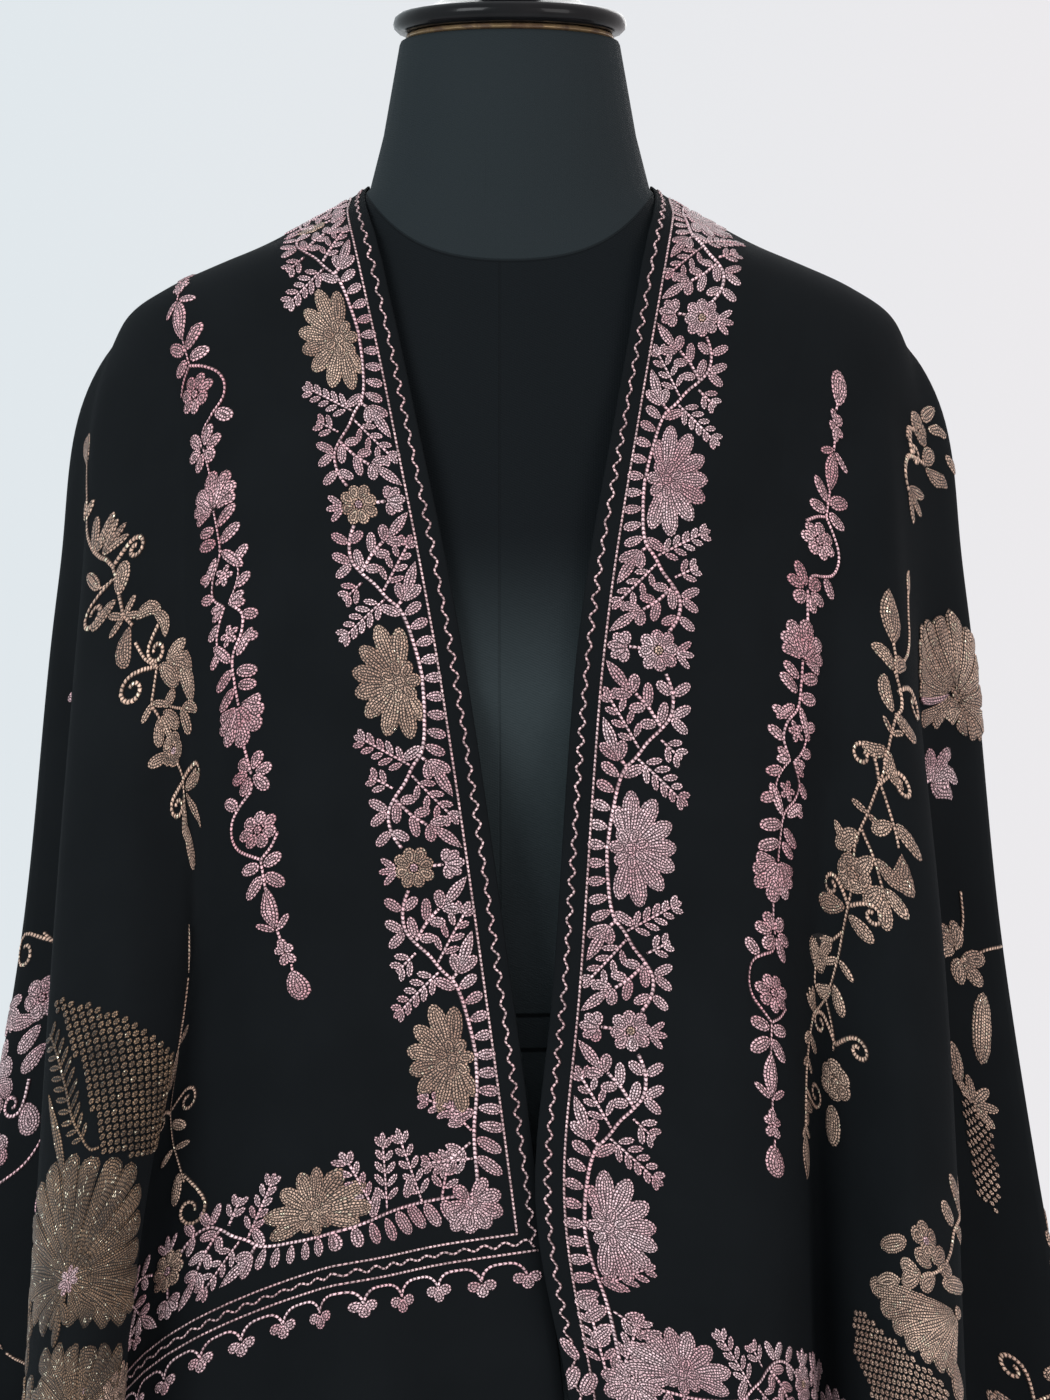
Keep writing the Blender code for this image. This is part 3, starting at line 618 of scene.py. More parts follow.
class Thread:
    """Everything worked in one thread: shapes gathered in the cloth's plane, to be made one mesh."""

    def __init__(self):
        self.places, self.lifts, self.tints, self.faces, self.rows = [], [], [], [], []
        self.count = 0

    def add(self, places, lifts, tint, faces, rows):
        self.places.append(np.asarray(places))
        self.lifts.append(np.asarray(lifts))
        self.tints.append(np.full(len(places), tint))
        self.faces.extend([tuple(int(number) + self.count for number in face) for face in faces])
        self.rows.extend(rows)
        self.count += len(places)


def petal_faces(points):
    """Faces and row numbers of a filled shape whose outline has this many points; made once for each."""
    half = points // 2
    ring, top = points, 2 * points
    faces, corners = [], []
    for i in range(points):
        j = (i + 1) % points
        spine_i, spine_j = (k if k <= half else points - k for k in (i, j))
        faces.append((i, j, ring + j, ring + i))
        corners.append(((i, 0), (i + 1, 0), (i + 1, 1), (i, 1)))
        if spine_i == spine_j:
            faces.append((ring + i, ring + j, top + spine_i))
            corners.append(((i, 1), (i + 1, 1), (i + 0.5, 2)))
        else:
            faces.append((ring + i, ring + j, top + spine_j, top + spine_i))
            corners.append(((i, 1), (i + 1, 1), (i + 1, 2), (i, 2)))
    faces.append(tuple(range(points - 1, -1, -1)))
    corners.append(tuple((i, 0) for i in range(points - 1, -1, -1)))
    return faces, corners


PETAL_FACES = {points: petal_faces(points) for points in (8, 12, 20)}


class Pen:
    """Draws shapes in a frame laid on the cloth: an origin, a heading, a mirror and a way to bend them."""

    def __init__(self, work, chance, bend, over, origin=(0.0, 0.0), across=1.0, up=1.0):
        self.work, self.chance, self.bend, self.over = work, chance, bend, over
        self.origin = np.asarray(origin)
        self.across = np.array([across, 0.0])
        self.up = np.array([0.0, up])
        self.route, self.wide, self.bulk = None, 1.0, 1.0

    def at(self, points, whole=False):
        """Places on the cloth; a whole shape keeps its size when a route moves its first point."""
        points = np.asarray(points, dtype=float)
        places = self.origin + points[..., :1] * self.across + points[..., 1:2] * self.up
        if self.route is not None:
            root = places[:1]
            places = self.route(root) + (places - root) * (1.0, self.wide) if whole else self.route(places)
        return self.bend(places)

    def within(self, origin, turn, flip=1.0):
        """A pen for a motif inside this one's frame, bent the same way."""
        here = self.origin + origin[0] * self.across + origin[1] * self.up
        pen = Pen(self.work, self.chance, self.bend, self.over, here)
        pen.route, pen.wide, pen.bulk = self.route, self.wide, self.bulk
        pen.across = cos(turn) * self.across + sin(turn) * self.up
        pen.up = (-sin(turn) * self.across + cos(turn) * self.up) * flip
        return pen

    def turned_over(self):
        """Whether shapes drawn here come out mirrored on the cloth."""
        return (self.across[0] * self.up[1] - self.across[1] * self.up[0]) * self.over < 0.0

    def petal(self, thread, base, tip, width, outline="leaf", height=1.0, curl=0.0):
        """A filled shape from base to tip; curl bends its middle sideways, as a share of its length."""
        table = np.array(OUTLINES[outline])
        base, tip = np.asarray(base, dtype=float), np.asarray(tip, dtype=float)
        axis = tip - base
        length = hypot(*axis)
        side = np.array([-axis[1], axis[0]]) / length

        def middle_at(shares):
            """The shape's middle line, bent sideways most half way along."""
            return base + shares[:, None] * axis + (curl * length * 4.0 * shares * (1.0 - shares))[:, None] * side

        shares = np.concatenate([[0.0], table[:, 0], [1.0]])
        width *= self.bulk
        sides = np.concatenate([[0.0], table[:, 1], [0.0]]) * width / 2.0
        middle = middle_at(shares)
        right = middle - sides[:, None] * side
        left = (middle + sides[:, None] * side)[-2:0:-1]
        outline_points = np.concatenate([right, left])
        points = len(outline_points)
        half = points // 2
        reach = 1.0 - min(width / length, SPINE_CUT)
        spine = middle_at(0.5 + (shares - 0.5) * reach)
        own = np.array([k if k <= half else points - k for k in range(points)])
        ring = outline_points + RING * (spine[own] - outline_points)
        self.fill(thread, outline_points, ring, spine, own, width, height)

    def fill(self, thread, outline, ring, spine, own, width, height):
        """A raised shape of three levels, with rows of stitches that follow its outline."""
        faces, corners = PETAL_FACES[len(outline)]
        places = self.at(np.concatenate([outline, ring, spine]), True)
        around = lengths_along(np.concatenate([outline, outline[:1]])) * MILLIMETRES
        inward = np.linalg.norm(spine[own] - outline, axis=1) * MILLIMETRES
        inward = np.append(inward, inward[0])
        top = LIFT + THREAD_HEIGHT * height * min(1.0, NARROWEST + width)
        points = len(outline)
        lifts = np.concatenate([np.full(points, LIFT - SUNK), np.full(points, LIFT + (top - LIFT) * RING_RISE),
                                np.full(len(spine), top)])
        start = self.chance.uniform(0.0, THREAD_PHASE)
        numbers = np.arange(points + 1)
        rows = [[(start + np.interp(i, numbers, around), (0.0, RING, 1.0)[k] * np.interp(i, numbers, inward))
                 for i, k in face] for face in corners]
        if self.turned_over():
            faces = [face[::-1] for face in faces]
            rows = [row[::-1] for row in rows]
        flat_rows = [pair for row in rows for pair in row]
        self.work[thread].add(places, lifts, self.chance.uniform(0.0, 1.0), faces, flat_rows)

    def cord(self, thread, points, width=CORD_WIDTH, smooth=True, whole=False):
        """One row of chain stitch along a curve."""
        points = np.asarray(points, dtype=float)
        if smooth and len(points) > 2:
            along = lengths_along(points)
            steps = max(3, int(ceil(along[-1] / CORD_STEP)))
            points = spline(along, points, np.linspace(0.0, along[-1], steps + 1))
        points = self.at(points, whole)
        heading = np.gradient(points, axis=0)
        side = np.stack([-heading[:, 1], heading[:, 0]], axis=1) / np.linalg.norm(heading, axis=1)[:, None]
        count = len(points)
        half = width * self.bulk / 2.0
        places = np.concatenate([points + side * half, points + side * half * CORD_ROUND,
                                 points - side * half * CORD_ROUND, points - side * half])
        lifts = np.repeat([LIFT - SUNK, LIFT + CORD_HEIGHT, LIFT + CORD_HEIGHT, LIFT - SUNK], count)
        along = lengths_along(points) * MILLIMETRES + self.chance.uniform(0.0, THREAD_PHASE)
        faces, rows = [], []
        for i in range(count - 1):
            for k in range(4):
                m = (k + 1) % 4
                faces.append((k * count + i, m * count + i, m * count + i + 1, k * count + i + 1))
                rows.extend([(along[i], CORD_TURNS[k]), (along[i], CORD_TURNS[m]),
                             (along[i + 1], CORD_TURNS[m]), (along[i + 1], CORD_TURNS[k])])
        for i, order in ((0, (3, 2, 1, 0)), (count - 1, (0, 1, 2, 3))):
            faces.append(tuple(k * count + i for k in order))
            rows.extend([(along[i], CORD_TURNS[k]) for k in order])
        self.work[thread].add(places, lifts, self.chance.uniform(*CORD_TINTS), faces, rows)

    def stem(self, thread, *points):
        """A thicker cord through the points."""
        self.cord(thread, points, STEM_WIDTH)

    def bead(self, thread, centre, radius, height):
        """A small round dot of a few coiled stitches."""
        x, y = centre
        self.petal(thread, (x - radius, y), (x + radius, y), radius * 2.0, "bead", height)

    # ---- small motifs; each grows along +X from its own origin ----
    def sprig(self, thread, start, turn, length, pairs, lean=0.0):
        """A fern-like sprig: a stem with pairs of rounded leaflets and one at its tip."""
        long, wide = SPRIG_LEAF
        pen = self.within(start, turn)
        pen.cord(thread, [(0.0, 0.0), (length * 0.5, lean * length * 0.5), (length * 0.92, lean * length)])
        for k in range(pairs):
            share = (k + 0.75) / (pairs + 0.4)
            x, y = length * share, lean * length * share ** 1.5
            size = long * (1.0 - 0.28 * share) * self.chance.uniform(0.92, 1.08)
            for side in (-1.0, 1.0):
                angle = side * SPRIG_SPREAD * (1.0 - 0.25 * share)
                root = (x + side * 0.03, y + side * 0.05)
                pen.leaf(thread, root, angle, size, wide, "leaflet", 0.8)
        pen.petal(thread, (length * 0.86, lean * length * 0.9), (length * 1.12, lean * length), wide * 1.05,
                  "leaflet", 0.85)

    def leaf(self, thread, root, turn, length, width, outline, height=1.0):
        """A filled shape from its root, at a turn and with a length."""
        self.petal(thread, root, (root[0] + length * cos(turn), root[1] + length * sin(turn)), width, outline, height)

    def fan(self, thread, root, length, width, outline, *turns):
        """Leaves of one size from one root."""
        for turn in turns:
            self.leaf(thread, root, turn, length, width, outline)

    def lobes(self, thread, centre, core, rows, outline, height=1.0, squash=1.0):
        """Petals out from a core round a centre, each row with its turn in degrees, its reach and its width."""
        for turn, reach, width in rows:
            around = np.array([cos(radians(turn)), sin(radians(turn))])
            self.petal(thread, centre + core * around, centre + reach * around * (1.0, squash), width, outline, height)

    def petals(self, thread, width, outline, *rows):
        """Petals of one width, each row with x and y of its base and of its tip."""
        for row in rows:
            self.petal(thread, row[:2], row[2:], width, outline)

    def rosette(self, thread, centre, radius, petals, width, eye, core, turn, outline="round"):
        """A small open flower with rounded petals round a dot."""
        x, y = centre
        for k in range(petals):
            angle = turn + 2.0 * pi * k / petals
            reach = radius * (1.0 if k % 2 else 0.94)
            self.petal(thread, (x + core * 0.7 * cos(angle), y + core * 0.7 * sin(angle)),
                       (x + reach * cos(angle), y + reach * sin(angle)), width, outline)
        self.bead(eye or thread, (x, y), core, 1.45)

    def pair(self, thread, root, turn, length, width, spread):
        """Two leaves from one place, to either side of a heading."""
        self.fan(thread, root, length, width, "oval", turn - spread, turn + spread)

    def comma(self, thread, root, turn, size, side):
        """A comma-shaped leaf that swells towards its end and hooks over in a short curl."""
        pen = self.within(root, turn, side)
        pen.petal(thread, (0.0, 0.0), (size * 0.86, 0.0), size * 0.52, "petal", 1.15, 0.10)
        pen.petal(thread, (0.1 * size, 0.02 * size), (size * 0.62, 0.02), size * 0.26, "oval", 1.7, 0.08)
        pen.cord(thread, [(size * 0.78, 0.16 * size), (size * 0.98, 0.02 * size), (size * 0.98, -0.20 * size),
                          (size * 0.84, -0.30 * size)], 0.22)

    def curl_end(self, thread, start, turn, size, side=1.0, turns=1.15):
        """A tendril that winds into a small spiral."""
        pen = self.within(start, turn, side)
        points = [(0.0, 0.0), (size * 0.55, -0.04 * size)]
        for k in range(CURL_STEPS + 1):
            angle = -pi / 2.0 + 2.0 * pi * turns * k / CURL_STEPS
            radius = size * (0.5 - 0.36 * k / CURL_STEPS)
            points.append((size * 0.95 + radius * cos(angle), size * 0.48 + radius * sin(angle)))
        pen.cord(thread, points, 0.26, smooth=False, whole=True)

    def draw(self, thread, *rows):
        """Works rows in order: a shape and its values, or an outline with x, y, x, y, width, height and curl."""
        shapes = {"stem": self.stem, "cord": self.cord, "fan": self.fan, "pair": self.pair, "curl": self.curl_end,
                  "rosette": self.rosette, "petals": self.petals, "dot": self.bead, "comma": self.comma,
                  "sprig": self.sprig}
        for shape, *values in rows:
            if shape in shapes:
                shapes[shape](thread, *values)
            else:
                self.petal(thread, values[:2], values[2:4], values[4], shape, *values[5:])


def worked_piece(name, cloth, thread, finish):
    """The mesh of everything worked in one thread, laid over the cloth."""
    places = np.concatenate(thread.places) / 100.0
    lifts = np.concatenate(thread.lifts)
    return new_piece(name, cloth.place(places, lifts), thread.faces, finish, thread.rows, "rows",
                     np.concatenate(thread.tints))


# ---- the design, in centimetres: along the cloth from the middle of the back, in from the neck edge ----
HALF_UNIT = 9.4                                    # from a big flower to the small one beside it
NECK_FLOWERS = (-66.0, -56.5, -47.5, -38.7, -30.0, -21.6, -13.2, -4.8, 3.65, 12.1, 20.5, 28.6, 37.3, 45.7,
                55.3, 64.1, 73.8)                  # big and small by turns, a big one first
HEM_FLOWERS = (-65.0, -56.0, -47.0, -38.0, -29.0, -20.0, -11.0, -2.0, 7.0, 16.0, 25.0, 34.0, 43.0, 52.0,
               61.0, 70.0, 75.0)
LEFT_LINE = 75.0                                   # first line across the left end
RIGHT_LINE = 83.4
LEFT_END_FLOWERS = (10.7, 18.6, 28.6, 37.2, 45.8, 54.4, 61.0)
RIGHT_END_FLOWERS = (5.3, 14.0, 23.9, 32.6, 41.3, 50.0, 58.7, 65.0)
WAVE = 0.92                                        # length of one ripple of the wavy line
LINE_STEP = 0.8
ACROSS = 70.0                                      # the cloth's whole width
HEM_LINE = 69.55                                   # where the hem border is measured from
NECK_EASED_TO, NECK_EASE, NECK_SHIFT = 4.5, 0.9, 0.45  # the cloth's first centimetres under the neck border
LEFT_DROP, DROP_FROM, DROP_OVER = 4.0, 9.0, 17.0   # how far the left end's border runs down, and where
GOLD_UNTIL = -8.0                                  # the neck border's flowers are gold up to here
WIDE_CORNER = 6.0
TREFOIL_STEP = 1.98
TREFOIL_ENDS = (0.9, 69.1)
SEED = 12
VINES = {"left": (1.15, 1.25), "right": (1.4, 1.2)}  # how far a vine's shapes stretch outward, and their width
SPRAY_BULK = 1.35
# One thread is the gold thread painted darker, as painted shade on the work over the left arm.
ROSE, ROSE_FAR, GOLD, PINK, GOLD_IN_SHADE, EDGE = "rose", "rose_hem", "gold", "pink", "bronze", "edge"


def from_neck(places):
    """Cloth under the neck border lies a little stretched across, so its first centimetres are closer."""
    out = np.array(places, dtype=float)
    out[..., 1] = np.where(out[..., 1] < NECK_EASED_TO, NECK_SHIFT + NECK_EASE * out[..., 1], out[..., 1])
    return out


def from_hem(places):
    """Y in from the hem."""
    out = np.array(places, dtype=float)
    out[..., 1] = HEM_LINE - out[..., 1]
    return out


def left_drop(across):
    """How far the left end's border runs down as it crosses the cloth."""
    share = np.clip((across - DROP_FROM) / DROP_OVER, 0.0, 1.0)
    return LEFT_DROP * share * share * (3.0 - 2.0 * share)


def from_left_end(places):
    """X across the cloth, and Y up from the first line of its left end."""
    across = np.asarray(places)[..., 0]
    return np.stack([np.asarray(places)[..., 1] - LEFT_LINE - left_drop(across), across], axis=-1)


def from_right_end(places):
    """X across the cloth, and Y up from the first line of its right end."""
    across = np.asarray(places)[..., 0]
    return np.stack([RIGHT_LINE - np.asarray(places)[..., 1], across], axis=-1)


def side_of(sign, far):
    """Cloth down one front: X runs down from the middle of the back, Y out from the neck edge or the hem."""
    def bend(places):
        out = np.array(places, dtype=float)
        out[..., 0] *= sign
        if far:
            out[..., 1] = ACROSS - out[..., 1]
        return out
    return bend, -sign if far else sign


BENDS = {"neck": (from_neck, 1.0), "hem": (from_hem, -1.0), "left end": (from_left_end, -1.0),
         "right end": (from_right_end, 1.0), "right": side_of(1.0, False), "right far": side_of(1.0, True),
         "left": side_of(-1.0, False), "left far": side_of(-1.0, True)}


def pen_on(work, strip, chance, start=0.0, heading=1.0):
    """A pen on one strip of the cloth: X runs along the strip, Y in from its line."""
    bend, over = BENDS[strip]
    return Pen(work, chance, bend, over, (start, 0.0), heading)


def half_unit(pen):
    """From a big flower at 0 to the middle of a small one at HALF_UNIT, every leaf in rose."""
    pen.stem(ROSE, (0.0, 1.6), (1.0, 1.66), (2.0, 1.78), (2.9, 1.92), (3.7, 2.18), (4.3, 2.68), (5.1, 3.2),
             (5.8, 3.82), (6.4, 4.2), (7.0, 4.28), (7.8, 4.1), (8.35, 3.8))
    for t, low, lean in ((0.0, 1.56, 0.0), (0.88, 1.6, 0.12), (1.74, 1.68, 0.26), (2.58, 1.8, 0.42),
                         (3.3, 1.98, 0.62)):
        pen.petal(ROSE, (t, low), (t + lean, low - 0.96), 0.62, "round", 0.95)
    pen.draw(ROSE,
        ("oval", 3.35, 2.1, 3.95, 3.15, 0.62),
        # the long leaf between two lobes, beside the lines
        ("stem", (3.85, 2.25), (4.1, 1.98)), ("round", 4.05, 1.9, 4.82, 0.88, 0.66),
        ("round", 4.05, 1.9, 5.1, 2.02, 0.66), ("leaf", 4.35, 1.75, 6.1, 0.95, 0.66, 1.1),
        # fern sprigs on both sides of the stem
        ("sprig", (4.75, 2.8), -0.52, 3.0, 4, -0.1), ("sprig", (4.25, 2.82), 2.1, 2.9, 5, 0.1),
        ("sprig", (5.3, 3.85), 2.15, 1.25, 2, 0.05),
        # a chain of leaves towards the small flower
        ("stem", (5.86, 3.8), (6.3, 3.45), (6.7, 3.12), (7.3, 2.42)),
        ("petals", 0.6, "oval", (5.98, 3.74, 7.12, 3.92), (5.98, 3.6, 5.92, 2.72), (6.72, 3.1, 7.92, 2.96),
         (6.74, 3.0, 6.58, 2.12)), ("round", 7.26, 2.3, 8.25, 2.3, 0.66), ("round", 7.26, 2.3, 7.18, 1.28, 0.66),
        ("leaf", 7.42, 2.12, 8.72, 0.84, 0.64, 1.1),
        # leaves on the outside of the stem
        ("petals", 0.6, "oval", (7.42, 4.18, 7.98, 3.36), (7.42, 4.25, 8.08, 5.12), (6.42, 4.3, 7.02, 5.25),
         (6.35, 4.25, 5.72, 5.2)))


# Petals of the big flower round its middle: turn in degrees, reach, width
BIG_PETALS = ((-9, 2.62, 0.98), (14, 2.92, 1.04), (43, 2.55, 1.0), (72, 2.42, 1.02), (98, 2.36, 1.02),
              (127, 2.48, 1.0), (157, 2.78, 1.04), (183, 2.86, 1.0), (203, 2.2, 0.84))


def big_flower(pen, colour):
    """A wide flower that leans on the arc of its stem: long petals along it and shorter ones away from it."""
    x, y = 0.0, 2.72
    for number, row in enumerate(BIG_PETALS):
        pen.lobes(colour, (x, y), 0.35, [row], "round", 1.0 + 0.12 * (number % 2))
    pen.lobes(colour, (x, y), 0.0, [(turn, 1.0, 0.62) for turn in (-150, -95, -40)], "round", 1.0, 0.95)
    for turn in range(10, 360, 52):
        angle = radians(turn)
        pen.petal(colour, (x + 0.15 * cos(angle), y + 0.15 * sin(angle)),
                  (x + 1.15 * cos(angle), y + 1.1 * sin(angle)), 0.74, "oval", 1.45)
    pen.bead(colour, (x, y), 0.44, 1.9)


def small_flower(pen, colour):
    """A small open flower, five lobes between it and the lines, and three leaves on its far side."""
    pen.rosette(colour, (0.0, 3.35), 1.12, 8, 0.72, ROSE if colour == GOLD else GOLD, 0.24, 0.2)
    pen.stem(ROSE, (0.0, 2.4), (0.0, 1.9))
    for turn, reach in ((-2.85, 0.8), (-2.2, 0.94), (-1.57, 1.0), (-0.94, 0.94), (-0.29, 0.8)):
        pen.petal(ROSE, (0.08 * cos(turn), 1.86), (reach * cos(turn), 1.8 + reach * sin(turn)), 0.6, "round", 1.05)
    for turn in (0.85, pi / 2.0, pi - 0.85):
        pen.petal(ROSE, (0.08 * cos(turn), 4.25), (1.0 * cos(turn), 4.35 + 0.86 * sin(turn)), 0.42, "oval")


def border(work, strip, flowers, colours, chance):
    """Flowers big and small by turns along a strip, with a half unit of stems between each two."""
    for number, (here, colour) in enumerate(zip(flowers, colours)):
        flower = small_flower if number % 2 else big_flower
        flower(pen_on(work, strip, chance, here), colour)
    for number, (here, there) in enumerate(zip(flowers, flowers[1:])):
        big, small = (here, there) if number % 2 == 0 else (there, here)
        half_unit(pen_on(work, strip, chance, big, (small - big) / HALF_UNIT))


def ripples(start, end, height, across=0.0):
    """Points of a wavy line from start to end along X."""
    count = int(round((end - start) / WAVE))
    along = np.linspace(start, end, count * 6 + 1)
    turns = np.arange(len(along)) * pi / 3.0
    uneven = 1.0 + 0.25 * np.sin(along * 0.9)
    return np.stack([along, across + height * uneven * np.sin(turns + 0.5 * np.sin(along * 0.37))], axis=1)


def straight(start, end, across):
    """Points of a straight line along X."""
    along = np.arange(start, end, LINE_STEP)
    return np.stack([along, np.full_like(along, across)], axis=1)


def lines(work, chance):
    """The straight and the wavy line round the cloth, and the three lines across each end."""
    for strip, start in (("neck", -LEFT_LINE), ("hem", -LEFT_LINE - LEFT_DROP)):
        pen = pen_on(work, strip, chance)
        pen.cord(EDGE, straight(start, RIGHT_LINE + 0.01, 0.75), 0.14, smooth=False)
        pen.cord(EDGE, ripples(start - 0.75, RIGHT_LINE + 0.75, 0.13), 0.14, smooth=False)
    for strip in ("left end", "right end"):
        pen = pen_on(work, strip, chance)
        pen.cord(EDGE, straight(1.1, 68.9, 0.0), 0.14, smooth=False)
        pen.cord(EDGE, ripples(0.6, 69.4, 0.1, -0.46), 0.15, smooth=False)
        pen.cord(EDGE, straight(0.3, 69.8, -0.94), 0.15, smooth=False)


def hanging_trefoils(pen, start, end):
    """Scallops along the last line of an end, with three round lobes hanging between each two."""
    count = int(round((end - start) / TREFOIL_STEP))
    places = np.linspace(start, end, count + 1)
    for number, place in enumerate(places):
        low = -2.05 - 0.12 * (number % 2)
        for turn, reach in ((-pi / 2.0, 0.76), (-0.35, 0.7), (pi + 0.35, 0.7)):
            pen.petal(ROSE, (place + 0.04 * cos(turn), low), (place + reach * cos(turn), low + reach * sin(turn)),
                      0.62, "round", 1.1)
    for here, there in zip(places, places[1:]):
        middle = (here + there) / 2.0
        pen.cord(ROSE, [(here, -2.1), (here + 0.14, -1.72), (here + 0.42, -1.46), (middle, -1.38),
                        (there - 0.42, -1.46), (there - 0.14, -1.72), (there, -2.1)], 0.17)


# Rose garland, as distances up from the first line of the end: its middle line
LEFT_GARLAND = ((12.0, 10.0), (13.2, 10.2), (15.4, 10.9), (17.9, 11.8), (24.4, 12.2), (32.4, 11.8), (39.4, 12.0),
                (47.4, 11.3), (54.0, 10.6))
RIGHT_GARLAND = ((12.0, 12.2), (14.1, 12.0), (18.4, 11.5), (22.6, 11.4), (25.4, 11.0), (27.9, 11.3), (32.4, 11.9),
                 (37.6, 12.0), (42.7, 12.3), (46.6, 13.2), (49.7, 13.3), (54.0, 12.2))
GARLAND_MIDDLE = 33.2
GARLAND_STRETCH = {"l": 1.0, "r": 1.022}
GARLAND_WIDE = {"l": (1.85, 1.5), "r": (1.72, 1.5)}  # how far the leaves stand apart, and their width


def along_garland(path, line, strip):
    """Bends X up the garland's middle line and Y out from it."""
    up, out = zip(*path)
    lay, over = BENDS[strip]

    def bend(places):
        x, y = places[..., 0], places[..., 1]
        return lay(np.stack([line - GARLAND_STRETCH[strip[0]] * x, np.interp(x, up, out) + y], axis=-1))
    return bend, -over


def half_garland(pen):
    """From the bud at the garland's tip to its middle."""
    pen.draw(PINK,
        ("round", 14.75, 0.0, 13.1, 0.05, 1.1, 1.1), ("stem", (14.6, 0.0), (15.0, 0.05)))
    pen.lobes(PINK, (15.65, 0.0), 0.0, [(turn, 0.8, 0.5) for turn in (-140, -65, 0, 65, 140)], "round", 1.0, 0.575)
    pen.stem(PINK, (16.2, 0.0), (16.9, 0.02))
    for side in (-1.0, 1.0):
        pen.petal(PINK, (16.85, side * 0.05), (17.5, side * 0.78), 0.4, "oval", 0.9)
    pen.draw(PINK,
        ("leaf", 16.9, 0.0, 19.15, 0.03, 0.86, 1.15), ("stem", (19.0, 0.0), (20.5, 0.0)))
    for side in (-1.0, 1.0):
        pen.petal(PINK, (19.75, side * 0.05), (18.85, side * 0.92), 0.7, "oval")
        pen.petal(PINK, (20.15, side * 0.05), (20.42, side * 1.02), 0.7, "oval")
    # a ring of stem round a small flower
    pen.draw(PINK,
        ("stem", (20.5, 0.0), (20.95, -0.42), (21.6, -0.86), (22.4, -1.02), (23.1, -0.86), (23.55, -0.42),
         (23.95, 0.1), (24.3, 0.18)), ("stem", (20.5, 0.0), (20.9, 0.45), (21.5, 0.82)),
        ("rosette", (21.95, 0.1), 0.98, 7, 0.66, None, 0.22, 0.3), ("oval", 23.45, -0.55, 24.25, -1.2, 0.66))
    rows = ((-145, 1.1), (-85, 1.05), (-30, 1.05), (30, 1.05), (95, 1.0), (150, 1.3))
    pen.lobes(PINK, (24.75, 0.22), 0.12, [(turn, reach, 0.68) for turn, reach in rows], "round")
    pen.stem(PINK, (24.7, 0.2), (25.6, 0.1), (26.4, 0.0))
    # a lotus that opens downwards
    rows = ((100, 1.35, 0.66), (124, 1.65, 0.74), (148, 1.95, 0.8), (180, 2.15, 0.86), (-148, 1.95, 0.8),
            (-124, 1.65, 0.74), (-100, 1.35, 0.66))
    pen.lobes(PINK, (28.25, 0.0), 0.1, rows, "petal", 1.1, 0.82)
    pen.lobes(PINK, (28.1, 0.0), 0.0, [(turn, 1.15, 0.5) for turn in (150, 180, -150)], "oval", 1.6)
    # leaves and small flowers to the middle of the garland
    pen.draw(PINK,
        ("stem", (28.2, 0.0), (29.4, -0.06), (30.6, -0.02), (31.6, 0.42), (32.4, 0.5), (33.2, 0.1)),
        ("cord", ((30.3, -0.02), (31.0, -0.45), (31.8, -0.62), (32.5, -0.45), (33.2, -0.1))),
        ("oval", 29.15, -0.06, 28.45, -1.02, 0.66), ("oval", 30.05, -0.06, 29.5, -1.1, 0.7),
        ("oval", 30.4, -0.1, 31.75, -0.95, 0.54), ("oval", 29.2, 0.06, 28.75, 0.95, 0.62),
        ("oval", 29.9, 0.06, 29.35, 1.05, 0.68), ("oval", 30.5, 0.15, 31.6, 0.98, 0.54),
        ("oval", 31.3, -0.55, 30.7, -1.15, 0.58), ("oval", 31.4, 0.42, 31.0, 1.15, 0.56),
        ("oval", 32.5, 0.48, 32.0, 1.22, 0.6), ("oval", 32.6, -0.42, 32.1, -1.14, 0.6),
        ("oval", 33.2, 0.1, 32.9, 0.85, 0.52), ("oval", 33.2, -0.1, 32.9, -0.85, 0.52))
    for turn in (0, 72, 144, 216, 288):
        angle = radians(turn)
        pen.petal(PINK, (31.7, -0.05), (31.7 + 0.55 * cos(angle), -0.05 + 0.5 * sin(angle)), 0.36, "round", 1.1)


def garland(work, path, line, strip, chance):
    """The whole garland of one strip: a half from each of its tips to its middle."""
    bend, over = along_garland(path, line, strip)
    mirrored = -1.0 if strip.startswith("left") else 1.0
    spread, wide = GARLAND_WIDE[strip[0]]
    for start, heading in ((0.0, 1.0), (2.0 * GARLAND_MIDDLE, -1.0)):
        pen = Pen(work, chance, bend, over, (start, 0.0), heading, mirrored * heading)
        pen.route, pen.wide = lambda places: places * (1.0, spread), wide
        half_garland(pen)


# Where the vines' stems really lie: distance down the drawing, then down the cloth and in from its edge
LEFT_ROUTE = ((24.0, 25.0, 0.2), (34.0, 34.2, 0.2), (36.0, 35.4, 0.0), (39.2, 37.2, 0.7), (40.7, 38.4, 1.1),
              (44.8, 42.0, 0.9), (47.4, 43.4, 1.6), (51.7, 46.2, 2.0), (54.0, 47.9, 2.3), (57.1, 49.8, 3.5),
              (60.0, 51.8, 3.9))
RIGHT_ROUTE = ((24.0, 24.4, 0.2), (34.0, 34.8, -0.2), (38.0, 37.9, 0.2), (41.0, 41.4, 0.3), (44.0, 43.6, 0.8),
               (46.4, 45.9, 1.3), (48.4, 47.4, 1.9), (51.5, 50.2, 3.1), (54.6, 52.2, 3.8), (57.0, 54.3, 3.9),
               (60.4, 58.4, 4.0), (63.0, 60.6, 4.0), (66.0, 63.6, 3.2), (69.5, 66.9, 2.6), (72.0, 69.0, 2.4))


def along_route(table):
    """Moves a drawn stem on to its place on the cloth."""
    drawn, down, inward = np.array(table).T

    def route(places):
        out = np.array(places, dtype=float)
        out[..., 1] += np.interp(out[..., 0], drawn, inward)
        out[..., 0] = np.interp(out[..., 0], drawn, down)
        return out
    return route


